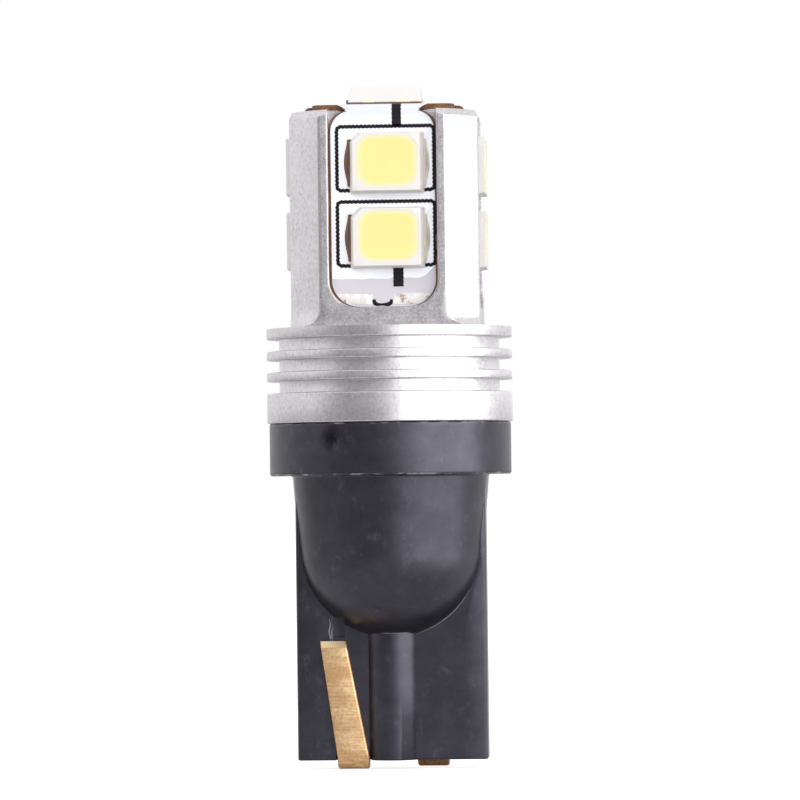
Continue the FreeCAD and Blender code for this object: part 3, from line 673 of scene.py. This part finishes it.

# %% [markdown]
# ## Finishes of the board
# The board is paper laminate, brown where it was punched. It carries a white solder mask, black
# print, thinly tinned pads and the solder of the LEDs. The mask is painted greyer as shade over the
# fold and as a shadow above the foot's pads, and the solder is painted dull brown as shade at one
# end of each package.

# %% Finishes of the board
def solder_mask():
    """Solder mask, screened white: cool white with a soft gloss. Over the fold it is painted greyer
    as shade. Above the foot's pads it is painted a greyer white as the shadow of the pocket's lower
    wall, below a wavy line that climbs at the right."""
    f = Finish("solder mask, white", Specular_IOR_Level=0.5, Roughness=0.38)
    across = f.add("Attribute", 2, {"attribute_name": "across"})
    height = f.part(2)
    # Painted shadow of the pocket's lower wall: a greyer white below a wavy line that climbs at the right.
    wave = f.math("MULTIPLY_ADD", f.noise((1.1, 1.1, 0.2), 1.0), 0.2, 22.62)
    climb = f.math("POWER", f.math("MAXIMUM", f.math("SUBTRACT", across, 1.4), 0.0), 2.0)
    line = f.math("MULTIPLY_ADD", climb, 0.6, wave)
    painted_foot_shadow = f.math("MULTIPLY_ADD", f.math("SUBTRACT", height, line), 18.0, 0.5)
    white = f.ramp(f.noise(0.9), (0.3, "#EEF0F7"), (0.7, "#F6F7FB"))
    # Painted shade: the mask is greyer over the fold.
    painted_fold_shade = f.times(f.math("SUBTRACT", height, 29.3), 0.6)
    f.set(Base_Color=f.mix(painted_foot_shadow, "#C9C5CC", f.mix(painted_fold_shade, white, "#CDD0DC")))
    return f.material


def laminate_edge():
    """Paper laminate, punched: dry brown fibres at the cut edge."""
    f = Finish("laminate, punched edge", Roughness=0.85)
    fibre = f.noise(9, 4.0, 0.7)
    f.set(Base_Color=f.ramp(fibre, (0.35, "#4E2F1C"), (0.7, "#8C5F3C")))
    f.bump(fibre, 0.02, 0.8)
    return f.material


def screen_ink():
    """Screen ink, black: dull, with a faint brown tint."""
    f = Finish("screen ink, black", Base_Color="#17131A", Roughness=0.55, Specular_IOR_Level=0.2)
    return f.material


def solder(name, colour, metal):
    """Tin solder, reflowed: softly wrinkled; bright in one material, and dull brown in the other, which paints
    shade at the packages' left ends and under the top one, and stands for burnt flux along the board's edges.
    """
    f = Finish(name, Metallic=metal, Base_Color=colour, Roughness=0.45)
    f.bump(f.noise(5), 0.02, 0.5)
    return f.material


def stained_tin():
    """Pads, tinned thin: off-white with a few brown flux stains."""
    f = Finish("tin, thin on pads", Metallic=0.25, Roughness=0.4)
    stain = f.noise(2.4, 4.0, 0.7)
    f.set(Base_Color=f.ramp(stain, (0.36, "#A8917D"), (0.43, "#E2DEDB"), (0.7, "#F2F0EF")))
    return f.material


MASK, LAMINATE, INK, PAD = solder_mask(), laminate_edge(), screen_ink(), stained_tin()
SOLDER = solder("tin solder, reflowed bright", "#E9E6E4", 0.7)
# Dull brown solder: painted shade at the packages' left ends and under the top one, burnt flux along the
# board's edges.
FLUX_AND_SHADE = solder("tin solder, dull brown: burnt flux and painted shade", "#6E5444", 0.3)
print("materials:", ", ".join(m.name for m in (MASK, LAMINATE, INK, PAD, SOLDER, FLUX_AND_SHADE)))

# %% [markdown]
# ## LED board
# A thin cross, folded down over the head into the four pockets, with round shoulders that
# relieve the folds. One section is carried from the top plate over the fold and down the
# pocket, and the arm is repeated four times. How far across its arm each point lies is stored
# for the wavy edge of the shadow painted on the mask above the foot.

# %% LED board
OUTSIDE_FOLD = FOLD_INNER + BOARD
fold_y, fold_z = POCKET_FLOOR - FOLD_INNER, HEAD_TOP - FOLD_INNER


def arm_half_width(z):
    """Half the arm's width at a height: the neck, the round shoulders, the straight sides and
    the rounded lower corners."""
    down = np.clip(SHOULDER_TOP - z, 0, SHOULDER)
    upper = ARM_HALF - SHOULDER + np.sqrt(SHOULDER**2 - (SHOULDER - down) ** 2)
    up = np.clip(z - ARM_BOTTOM, 0, ARM_CORNER)
    lower = ARM_HALF - ARM_CORNER + np.sqrt(ARM_CORNER**2 - (ARM_CORNER - up) ** 2)
    straight = np.maximum(np.minimum(upper, lower), np.where(z > 29, NECK_HALF, 0))
    return np.where(z > SHOULDER_TOP, NECK_HALF, straight)


def board_section(half_width, inner, outward):
    """The board's section at one place of the path: inner is the point on its lower side, and
    outward the direction through its thickness, both as (depth, height)."""
    ease = 0.085
    x = np.concatenate([np.linspace(-half_width + ease, half_width - ease, 15), [half_width, half_width]])
    x = np.concatenate([x, -x])
    up = np.concatenate([np.full(15, BOARD), [BOARD - 0.035, 0.02], np.zeros(15), [0.02, BOARD - 0.035]])
    return coords(x, -(inner[0] + outward[0] * up), inner[1] + outward[1] * up)


arm_rows = [board_section(NECK_HALF + NECK_FLARE, (PLATE_HALF, HEAD_TOP), (0, 1))]
for t in np.linspace(0, math.pi / 2, 12):
    out = (math.sin(t), math.cos(t))
    inner = (fold_y + FOLD_INNER * out[0], fold_z + FOLD_INNER * out[1])
    arm_rows.append(board_section(NECK_HALF + NECK_FLARE * out[1] ** 2, inner, out))
a = np.linspace(0, math.pi / 2, 16)
shoulder_heights = SHOULDER_TOP - SHOULDER * (1 - np.cos(a))
corner_heights = ARM_BOTTOM + ARM_CORNER * (1 - np.sin(a))
for z in np.concatenate([shoulder_heights, np.linspace(29.0, 23.5, 6), corner_heights]):
    arm_rows.append(board_section(float(arm_half_width(z)), (POCKET_FLOOR, z), (1, 0)))
arm = stack(arm_rows)
plate_rows = [
    rectangle(PLATE_HALF - i, PLATE_HALF - i, z, PLATE_CORNER - i, 8)
    for z, i in ((HEAD_TOP, 0.02), (HEAD_TOP + 0.02, 0), (BOARD_TOP - 0.02, 0), (BOARD_TOP, 0.02))
]
plate = stack(plate_rows)


def mask_or_edge(centres, normals):
    """0 for the masked outer side, 1 for the cut edges and the lower side."""
    depth = np.max(np.abs(centres[:, :2]), axis=1)
    along_face = np.max(np.abs(normals[:, :2]), axis=1)
    outer = (depth > ARM_FACE - 0.03) & (along_face > 0.95)
    past_fold = (centres[:, 2] > fold_z - 0.01) & (depth > fold_y)
    fold = past_fold & (np.hypot(depth - fold_y, centres[:, 2] - fold_z) > OUTSIDE_FOLD - 0.03)
    upper = (centres[:, 2] > BOARD_TOP - 0.03) & (normals[:, 2] > 0.9)
    return 1 - (outer | fold | upper)


def across_the_arm(points):
    """How far across its arm each point lies, in millimetres, positive to the right seen from
    outside: sign(x) y on the side arms and -sign(y) x on the front and back ones."""
    x, y = points[:, 0], points[:, 1]
    return np.where(np.abs(x) > np.abs(y), np.sign(x) * y, -np.sign(y) * x)


board = skin("led_board_folded", [plate] + repeated([arm], 4))
points = np.empty(len(board.data.vertices) * 3)
board.data.vertices.foreach_get("co", points)
across = board.data.attributes.new("across", "FLOAT", "POINT")
across.data.foreach_set("value", across_the_arm(points.reshape(-1, 3) / MM))
finished(board, [MASK, LAMINATE], ["led_board"], mask_or_edge)

# %% [markdown]
# ## Print and foot pads
# Black screen print frames each LED with a scalloped line, and a bar links the frames to the
# fold and to the foot. At the foot sit two tinned pads with a small printed cradle between
# them. The print is a thin film that lies on the mask and follows it over the fold. It is laid
# out flat, and one function bends it to the arm.

# %% Print and pads
FRAME_X, FRAME_Z, FRAME_OFFSET, INK_WIDTH, INK_HEIGHT = 2.285, 1.5, 0.135, 0.115, 0.014


def on_arm(flat, height):
    """Points (across, z, 0) on an arm's face put at a height above it; what runs above the
    fold's start goes round it, outer radius plus height, and then along the top."""
    x, z = flat[:, 0], flat[:, 1]
    radius = OUTSIDE_FOLD + height
    past = np.maximum(z - fold_z, 0)
    t = np.clip(past / OUTSIDE_FOLD, 0, math.pi / 2)
    beyond = np.maximum(past - OUTSIDE_FOLD * math.pi / 2, 0)
    depth = fold_y + radius * np.cos(t) - beyond
    return coords(x, -depth, np.minimum(z, fold_z) + radius * np.sin(t))


def even(path, count, closed):
    """The path's points spaced evenly along it, its unit normals (the path's direction,
    (dx, dy), turned to (dy, -dx)), and how far along the path each point lies."""
    if closed:
        path = np.vstack([path, path[:1]])
    lengths = np.concatenate([[0], np.cumsum(np.linalg.norm(np.diff(path, axis=0), axis=1))])

    def at(way):
        way = way % lengths[-1] if closed else way
        return np.column_stack([np.interp(way, lengths, path[:, i]) for i in (0, 1)])

    s = np.linspace(0, lengths[-1], count, endpoint=not closed)
    ahead = at(s + 0.02) - at(s - 0.02)
    ahead /= np.maximum(np.linalg.norm(ahead, axis=1), 1e-9)[:, None]
    return at(s), coords(ahead[:, 1], -ahead[:, 0]), s


def ink_loop(path, width, wobble=0.04, period=0.19, count=640):
    """A closed line of ink: edges at half the width plus a scallop, wobble times the sine of
    the way along, raised by the film's thickness."""
    spots, normals, s = even(path, count, True)
    outer = spots + normals * (width / 2 + wobble * np.abs(np.sin(math.pi * s / period)))[:, None]
    inner = spots - normals * (width / 2 + wobble * np.abs(np.cos(math.pi * s / period)))[:, None]
    sides = ((outer, -0.01), (outer, INK_HEIGHT), (inner, INK_HEIGHT), (inner, -0.01))
    rows = [on_arm(edge, height) for edge, height in sides]
    return stack(rows, "ring")


def film(path, height, ease=0.02):
    """A patch of film from its closed outline: up its edge, eased inwards, and flat on top."""
    centre = path.mean(axis=0)
    inwards = (centre - path) / np.maximum(np.linalg.norm(centre - path, axis=1), 1e-9)[:, None]
    rows = [on_arm(path, -0.01), on_arm(path, height - 0.4 * ease), on_arm(path + inwards * ease, height)]
    return stack(rows)


def bar(x, low, high, width):
    """A printed bar from one height to another, with rough edges, as a thin section carried
    along its length."""
    z = np.linspace(low, high, 60)
    rough = width / 2 + 0.012 * np.sin(z * 31) + 0.008 * np.sin(z * 57 + 1)
    left, right = coords(x - rough, z), coords(x + rough, z)
    sides = ((left, -0.01), (right, -0.01), (right, INK_HEIGHT), (left, INK_HEIGHT))
    return stack(np.stack([on_arm(side, height) for side, height in sides], axis=1))


def frame_path(centre_z):
    """The rounded rectangle round an LED, as a flat closed path."""
    corners = [(FRAME_OFFSET + x * FRAME_X, centre_z + z * FRAME_Z, 0.2) for x, z in CORNERS]
    return corner_path(corners, True, 7)


cradle = corner_path([
    (-0.5, 21.74, 0), (-0.44, 21.55, 0.06), (-0.3, 21.5, 0.05),
    (0.16, 21.5, 0.05), (0.31, 21.56, 0.06), (0.35, 21.74, 0),
])
spots, normals, s = even(cradle, 40, False)
swell = normals * (0.075 + 0.022 * np.sin(s * 9))[:, None]
cradle = np.vstack([spots + swell, (spots - swell)[::-1]])
past_fold = fold_z + OUTSIDE_FOLD * math.pi / 2
ink = [ink_loop(frame_path(28.365), INK_WIDTH), ink_loop(frame_path(24.83), INK_WIDTH)]
ink += [bar(0.67, 29.86, past_fold + 0.9, 0.43), bar(0.68, 22.33, 23.3, 0.48)]
ink += [stack([on_arm(cradle, -0.01), on_arm(cradle, INK_HEIGHT)])]
z = np.linspace(21.5, 22.02, 12)
outer = coords(arm_half_width(z) - 0.13, z)
pads = []
for side, inner in ((-1, 0.56), (1, 0.43)):
    outline = np.vstack([outer, [[inner, 22.0], [inner, 21.5]]]) * [side, 1]
    pads.append(film(even(outline, 160, True)[0][::side], 0.02))
finished(skin("board_print", repeated(ink, 4)), [INK], [])
finished(skin("board_foot_pads", repeated(pads, 4)), [PAD], [])

# %% [markdown]
# ## Finishes of the LEDs
# Each package is a white moulded frame with sloping sides, one corner cut to show its
# polarity, and a window filled with yellow silicone. Its tinned terminals come out at both
# ends, and those at the left are painted dark brown as shade.

# %% Finishes of the LEDs
def package_plastic():
    """Package resin, moulded white: matt, slightly translucent."""
    f = Finish("package resin, white", Base_Color="#D9D6D3", Roughness=0.5)
    f.set(Subsurface_Weight=0.15, Subsurface_Scale=0.0004)
    return f.material


def phosphor():
    """Silicone with phosphor: lemon yellow, deeper over the middle and paler at the rim."""
    f = Finish("silicone with phosphor", Roughness=0.17, Subsurface_Weight=0.25, Subsurface_Scale=0.0003)
    inside = f.add("Attribute", 2, {"attribute_name": "inside"})
    f.set(Base_Color=f.ramp(inside, (0.0, "#E2DBCC"), (0.35, "#E6DCAE"), (1.0, "#E6DA90")))
    return f.material


RESIN, PHOSPHOR = package_plastic(), phosphor()
TINNED = Finish("lead frame, tinned", Metallic=0.6, Base_Color="#CFC3B4", Roughness=0.4).material
# The left terminals are painted dark brown: painted shade at each package's left end.
SHADED_LEADS = Finish("lead frame, dark brown as painted shade", Metallic=0.6, Base_Color="#7A5A42", Roughness=0.45).material
print("materials:", ", ".join(m.name for m in (RESIN, PHOSPHOR, TINNED, SHADED_LEADS)))

# %% [markdown]
# ## Shapes of a package
# A housing, its fill and its terminals are outlines stacked upwards from the seat, and a solder
# joint is a hollow section carried across the terminal. They are made lying flat, and one
# function then sets them on an arm or on the top plate.

# %% Shapes of a package
WINDOW_SHIFT = np.array([0.04, 0.05, 0])
EDGE_CUT = 0.06


def shaded_left_end(centres, normals):
    """1 for what lies at the left end of its package, seen from outside: shade is painted there."""
    on_top = centres[:, 2] > BOARD_TOP - 0.01
    return np.where(on_top, centres[:, 0] < 0, across_the_arm(centres) < LED_OFFSET)


def eight_sided(x, y, z, cuts, steps=7):
    """A closed outline with eight sides at a height: a rectangle of half sizes x and y whose
    corners are cut by given lengths, each side divided evenly."""
    a, b, c, d = cuts
    corner = np.array([
        [-x + a, -y], [x - b, -y], [x, -y + b], [x, y - c], [x - c, y], [-x + d, y], [-x, y - d], [-x, -y + a],
    ])
    t = np.linspace(0, 1, steps, endpoint=False)[None, :, None]
    flat = (corner[:, None] * (1 - t) + np.roll(corner, -1, 0)[:, None] * t).reshape(-1, 2)
    return coords(*flat.T, z)


def housing_shell():
    """The package from its seat up: side walls, rounded rim, window wall and window floor."""
    rows = []
    rim = ((LED_HEIGHT - 0.05, 0.155), (LED_HEIGHT - 0.015, 0.17), (LED_HEIGHT, 0.195))
    for up, draw in ((0, 0.02), (0.02, 0), *rim):
        cuts = (EDGE_CUT, EDGE_CUT, EDGE_CUT, LED_CUT)
        rows.append(eight_sided(LED_LENGTH / 2 - draw, LED_WIDTH / 2 - draw * 0.5, up, cuts))
    for up, draw in ((LED_HEIGHT, 0.0), (LED_HEIGHT - 0.02, 0.02), (LED_HEIGHT - WINDOW_DEPTH, WINDOW_SLOPE)):
        window = eight_sided(WINDOW_LENGTH / 2 - draw, WINDOW_WIDTH / 2 - draw, up, (WINDOW_CORNER,) * 4)
        rows.append(window + WINDOW_SHIFT)
    return stack(rows)


def phosphor_shell():
    """The fill from the window's floor up to a slightly hollow top, and how far inside each
    point lies: 0 at the rim and 1 within the superellipse ((x/a)^4 + (y/b)^4)^(1/4) = 0.8."""
    fill = LED_HEIGHT - 0.004
    steps = [(LED_HEIGHT - WINDOW_DEPTH, WINDOW_SLOPE), (fill, 0.0)]
    steps += [(fill - 0.04 * draw, draw) for draw in (0.05, 0.1, 0.17, 0.25, 0.35, 0.5, 0.7)]
    rows = []
    for up, draw in steps:
        cut = WINDOW_CORNER * max(0.15, 1 - draw)
        rows.append(eight_sided(WINDOW_LENGTH / 2 - draw, WINDOW_WIDTH / 2 - draw, up, (cut,) * 4))
    rows = np.array(rows)
    x, y = 2 * np.abs(rows[..., 0]) / WINDOW_LENGTH, 2 * np.abs(rows[..., 1]) / WINDOW_WIDTH
    spread = (x**4 + y**4) ** 0.25
    inside = np.clip((1 - spread) / 0.2, 0, 1) * (rows[..., 2] > LED_HEIGHT - 0.1)
    return stack(rows + WINDOW_SHIFT), inside.ravel()


def terminal_shells():
    """The two flat terminals, with their edges eased."""
    centre = LED_LENGTH / 2 + TERMINAL_REACH - TERMINAL_LENGTH / 2
    shells = []
    for side in (-1, 1):
        rows = [
            rectangle(TERMINAL_LENGTH / 2 - i, TERMINAL_WIDTH / 2 - i, z, 0.03)
            for z, i in ((0, 0.01), (0.01, 0), (TERMINAL_THICK - 0.02, 0), (TERMINAL_THICK, 0.02))
        ]
        shells.append(stack(np.array(rows) + [side * centre, 0, 0]))
    return shells


def solder_shells(bed):
    """Solder at both ends: a bed under the terminal and a hollow fillet in front of it, whose
    reach follows a crescent, (1 - (2 y / width)^2)^1.7, and whose section is hollow."""
    end = LED_LENGTH / 2 + TERMINAL_REACH
    climb = bed + TERMINAL_THICK
    s = np.linspace(0, 1, 7)
    rows = []
    for across in np.linspace(-1, 1, 15):
        reach = SOLDER_TOE * (1 - across**2) ** 1.7
        hollow = coords(end + reach * s, climb * (1 - s) ** 1.7 * (1 - 0.6 * across**4))
        back = end - TERMINAL_LENGTH
        outline = np.vstack([hollow, [[back, 0], [back, bed], [end - 0.01, bed]]])
        rows.append(coords(outline[:, 0], across * TERMINAL_WIDTH / 2, outline[:, 1]))
    return repeated([stack(rows)], 2)


def seated(points, seat):
    """Points of a package lying on its seat, put on the board: turned upright, set at the
    arm's face and turned to its side, or lifted to the top plate."""
    face, height = seat
    if face is None:
        return points + [0, 0, BOARD_TOP]
    upright = coords(points[:, 0] + LED_OFFSET, -points[:, 2] - ARM_FACE, points[:, 1] + height)
    return spin(upright, 90 * FACES.index(face))


print("faces of a housing, a fill and a pair of terminals:", len(housing_shell()[1]),
      len(phosphor_shell()[0][1]), sum(len(faces) for _, faces in terminal_shells()))

# %% [markdown]
# ## LEDs on the board
# Two packages lie on each arm and one on the top plate. Each is a housing, a fill and a pair of
# terminals on a bed of solder, and the top one's bed is thicker. All the joints are one piece,
# bright at one end of a package and painted dull brown as shade at the other.

# %% LEDs on the board
seats = {"top": (None, 0)}
for face in FACES:
    seats[f"{face}_upper"] = (face, UPPER_LED)
    seats[f"{face}_lower"] = (face, LOWER_LED)
joints = []
for name, seat in seats.items():
    bed = TOP_BED if name == "top" else ARM_BED
    lift = np.array([0, 0, bed])
    points, faces = housing_shell()
    made = skin(f"led_package_{name}", [(seated(points + lift, seat), faces)])
    finished(made, [RESIN], [f"led_housing_{name}"])
    (points, faces), inside = phosphor_shell()
    mesh = bpy.data.meshes.new(f"led_fill_{name}")
    mesh.from_pydata((seated(points + lift, seat) * MM).tolist(), [], faces)
    mesh.attributes.new("inside", "FLOAT", "POINT").data.foreach_set("value", inside)
    made = linked(mesh.name, mesh)
    finished(made, [PHOSPHOR], [f"led_phosphor_{name}"], sharp=50)
    made = skin(f"led_leads_{name}", [(seated(p + lift, seat), f) for p, f in terminal_shells()])
    finished(made, [TINNED, SHADED_LEADS], [f"led_terminals_{name}"], shaded_left_end)
    joints += [(seated(p, seat), f) for p, f in solder_shells(bed)]
finished(skin("led_solder_joints", joints), [SOLDER, FLUX_AND_SHADE], ["led_solder"], shaded_left_end)

# %% [markdown]
# ## Flux left behind, and painted shade
# A dark brown crust under the top package is painted shade. Soldering left flux where nobody
# wiped it: amber drops dried at the package's long sides, and brown lines along the board's
# edges. The crust is a stack of rectangles, the drops are stacks of ellipses and the lines are hair-thin
# tubes.

# %% Flux left behind
# A dark brown crust fills the gap under the top package: painted shade beneath it.
rows = [
    rectangle(LED_LENGTH / 2 - i, LED_WIDTH / 2 + 0.03 - i, BOARD_TOP + z, 0.1)
    for z, i in ((0.08, 0.5), (0.14, 0.1), (0.17, 0.0), (TOP_BED, 0.0))
]
finished(skin("led_top_painted_shade", [stack(rows)]), [FLUX_AND_SHADE], [], sharp=0)

rosin = Finish("rosin flux, dried amber", Base_Color="#F2E2C2", Roughness=0.35)
rosin.set(Subsurface_Weight=0.3, Subsurface_Scale=0.0003)
t = np.linspace(0, 2 * math.pi, 28, endpoint=False)
drops = []
for centre, half in ((-0.78, 0.3), (0.86, 0.36)):
    rows = [
        coords(centre + half * k * np.cos(t), -LED_WIDTH / 2 + 0.06 * k * np.sin(t), BOARD_TOP + z)
        for z, k in ((0.23, 1.0), (0.29, 0.95), (0.36, 0.75), (0.41, 0.4))
    ]
    drops.append(stack(rows))
finished(skin("led_top_rosin", repeated(drops, 2)), [rosin.material], [], sharp=None)

z = np.linspace(22.1, 25.5, 90)
rough = 0.05 * np.sin(z * 9) * np.sin(z * 3.7 + 1)
gap = coords(2.53 + rough, -ARM_FACE - 0.01 - np.abs(rough) * 0.5, z)
z = np.linspace(29.75, 30.72, 40)
reach = np.minimum(arm_half_width(np.minimum(z, SHOULDER_TOP)), ARM_HALF) + 0.01
shoulder = coords(reach, -ARM_FACE + 0.02, z)
burnt = [hair(gap, 0.05), hair(shoulder, 0.035), hair(shoulder * [-1, 1, 1], 0.035)]
finished(skin("board_burnt_flux", repeated(burnt, 2)), [FLUX_AND_SHADE], [], sharp=None)

# %% [markdown]
# ## The driver inside
# The driver board and its parts sit in the base's hollow and show only when the bulb is taken
# apart. They keep the solids' own shapes and get the finish of the real parts.

# %% Driver parts
def plain_finish(name, colour, rough, metal, grain):
    """A plain material with a fine grain, so many lumps per millimetre."""
    f = Finish(name, Base_Color=colour, Roughness=rough, Metallic=metal)
    f.bump(f.noise(grain), 0.01, 0.5)
    return f.material


inner_finishes = {
    "driver_board": plain_finish("glass laminate, green mask", "#1F6B3A", 0.4, 0.0, 6),
    "bridge_rectifier": plain_finish("epoxy, moulded black", "#232326", 0.55, 0.0, 16),
    "capacitor": plain_finish("ceramic, fired tan", "#B08A5E", 0.5, 0.0, 9),
    "resistor_sense": plain_finish("ceramic, fired black glaze", "#1D1D20", 0.35, 0.0, 9),
    "feed_wire_plus": plain_finish("copper wire, tinned", "#CFC6BA", 0.3, 1.0, 5),
    "feed_solder": SOLDER,
    "contact_solder": SOLDER,
}
inner_finishes["regulator_ic"] = inner_finishes["bridge_rectifier"]
inner_finishes["resistor_bleed"] = inner_finishes["resistor_sense"]
inner_finishes["feed_wire_minus"] = inner_finishes["feed_wire_plus"]
for name, material in inner_finishes.items():
    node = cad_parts[name]
    node.data.materials.clear()
    node.data.materials.append(material)
print("inside:", ", ".join(sorted(inner_finishes)))

# %% [markdown]
# ## Studio
# The bulb stands on white paper in front of white. Grey cards stand round it, out of the
# camera's sight: each shows in the metal at one level and gives light at another, which sets
# the metal's dark middle. Dark and pale sheets on the table show in reflections alone.

# %% Floor, cards and sheets
FLOOR_Z, FLOOR_HALF, CARD_REACH, CARD_TOP = -0.45, 3000, 700, 700
SHEET_Z, SHEET_NEAR, SHEET_FAR = -0.15, 45, 600


def surface(name, points, material):
    """A flat piece of the stage from its four corners in millimetres."""
    mesh = bpy.data.meshes.new(name)
    mesh.from_pydata([[v * MM for v in p] for p in points], [], [[0, 1, 2, 3]])
    mesh.materials.append(material)
    made = linked(name, mesh)
    return made


def seen_by(f, mirrored=1.0):
    """1 for camera and transmission rays, a given share for glossy ones, and 0 for the light
    that falls on things."""
    path = f.add("LightPath").node.outputs
    glossy = f.times(path["Is Glossy Ray"], mirrored)
    total = f.math("ADD", f.math("ADD", path["Is Camera Ray"], glossy), path["Is Transmission Ray"])
    total.node.use_clamp = True
    return total


def glowing(name, seen, given, base="#000000", mirrored=1.0):
    """A matt card that glows at one level where it is seen, and gives light at another."""
    f = Finish(name, Base_Color=base, Roughness=1.0, Specular_IOR_Level=0.0)
    level = f.math("MULTIPLY_ADD", seen_by(f, mirrored), seen - given, given)
    f.set(Emission_Color="#FFFFFF", Emission_Strength=level)
    return f.material


def outwards(azimuth, reach, height):
    """A point at an azimuth, 0 at the front and positive to the right."""
    a = math.radians(azimuth)
    return reach * math.sin(a), -reach * math.cos(a), height


def band(name, start, end, first, last, material):
    """A card between two azimuths, from a first (reach, height) to a last one."""
    sides = ((start, first), (end, first), (end, last), (start, last))
    return surface(name, [outwards(azimuth, *spot) for azimuth, spot in sides], material)


floor_points = [(x * FLOOR_HALF, y * FLOOR_HALF, FLOOR_Z) for x, y in CORNERS]
surface("floor", floor_points, glowing("paper, white", 0.8, 0.0, "#C6C6C6", 0.05))
cards = (  # name, from and to azimuth, level seen, level given
    ("left", -165, -60, 0.92, 1.2),
    ("between", -60, -44, 0.52, 1.6),
    ("middle", -44, -30, 0.26, 1.8),
    ("before_front", -30, -14, 0.38, 1.9),
    ("front", -14, -2, 0.5, 2.3),
    ("past_front", -2, 5, 0.62, 2.3),
    ("near_the_key", 5, 11, 0.8, 2.4),
    ("by_the_key", 11, 17, 0.92, 2.5),
    ("under_the_key", 17, 28, 1.2, 1.3),
)
for name, start, end, seen, given in cards:
    material = glowing(f"grey card, {name}", seen, given)
    made = band(f"card_{name}", start, end, (CARD_REACH, FLOOR_Z), (CARD_REACH, CARD_TOP), material)
    made.visible_camera = False
sheets = (("left", -120, -54, 0.46), ("front", -54, 8, 0.26), ("right", 12, 95, 2.3))
for name, start, end, seen in sheets:
    material = glowing(f"table sheet, {name}", seen, 0.0)
    made = band(f"sheet_{name}", start, end, (SHEET_NEAR, SHEET_Z), (SHEET_FAR, SHEET_Z), material)
    made.visible_camera = made.visible_diffuse = made.visible_shadow = False
print(f"stage: {len(cards)} cards and {len(sheets)} sheets on the table")

# %% [markdown]
# ## World and lamps
# The world is white all round, and a little stronger as light. The large softbox at the right
# is two lamps: one gives the shine in metal and gloss, and the other the light on matt surfaces.

# %% World and lamps
AIM = Vector((0, 0, 17 * MM))
world = bpy.data.worlds.new("studio")
bpy.context.scene.world = world
world.use_nodes = True


class WorldFinish(Finish):
    """The same node calls on the world's tree."""

    def __init__(self, tree):
        self.tree = tree
        tree.nodes.clear()


w = WorldFinish(world.node_tree)
light = w.add("Background", Color="#FFFFFF", Strength=1.05)
shown = w.add("Background", Color="#FFFFFF", Strength=1.0)
w.add("OutputWorld", Surface=w.add("MixShader", _0=seen_by(w), _1=light, _2=shown))


def lamp(name, azimuth, elevation, distance, width, height, power):
    """A soft lamp aimed at the bulb's middle, in millimetres and watts."""
    data = bpy.data.lights.new(name, "AREA")
    data.shape = "RECTANGLE"
    data.size, data.size_y = width * MM, height * MM
    data.energy = power
    e = math.radians(elevation)
    out = Vector(outwards(azimuth, math.cos(e), math.sin(e)))
    made = linked(name, data)
    turned = out.to_track_quat("Z", "Y").to_matrix().to_4x4()
    made.matrix_world = Matrix.Translation(AIM + out * distance * MM) @ turned
    return made


shine = lamp("key_softbox_shine", 61, 16, 400, 530, 460, 2.4)
shine.visible_diffuse = False
fill = lamp("key_softbox_light", 50, 6, 400, 640, 260, 1.0)
fill.visible_glossy = False
print("lamps:", shine.name, "and", fill.name)

# %% [markdown]
# ## Camera
# The photograph was taken close to straight on, a little to the right and slightly from below
# the bulb's middle, with a long lens, and the bulb leans a hair to the left in it.

# %% Camera
PICTURE, SENSOR, SCALE = 800, 36.0, 20.99  # pixels, millimetres, pixels to a millimetre
DISTANCE, EYE_Z, AIM_Z, ASIDE, AZIMUTH, ROLL = 236.0, 13.3, 17.07, 0.48, 3.0, 0.7
data = bpy.data.cameras.new("camera")
data.sensor_width = SENSOR
data.lens = SENSOR * DISTANCE * SCALE / PICTURE
data.clip_start = 0.01
camera = linked("camera", data)
a = math.radians(AZIMUTH)
right, front = Vector((math.cos(a), math.sin(a), 0)), Vector((math.sin(a), -math.cos(a), 0))
aim = (right * ASIDE + Vector((0, 0, AIM_Z))) * MM
eye = (right * ASIDE + front * DISTANCE + Vector((0, 0, EYE_Z))) * MM
look = (eye - aim).to_track_quat("Z", "Y").to_matrix().to_4x4()
camera.matrix_world = Matrix.Translation(eye) @ look @ Matrix.Rotation(math.radians(-ROLL), 4, "Z")
bpy.context.scene.camera = camera
bpy.context.scene.view_settings.view_transform = "Standard"
print("lens in mm:", round(data.lens, 1))
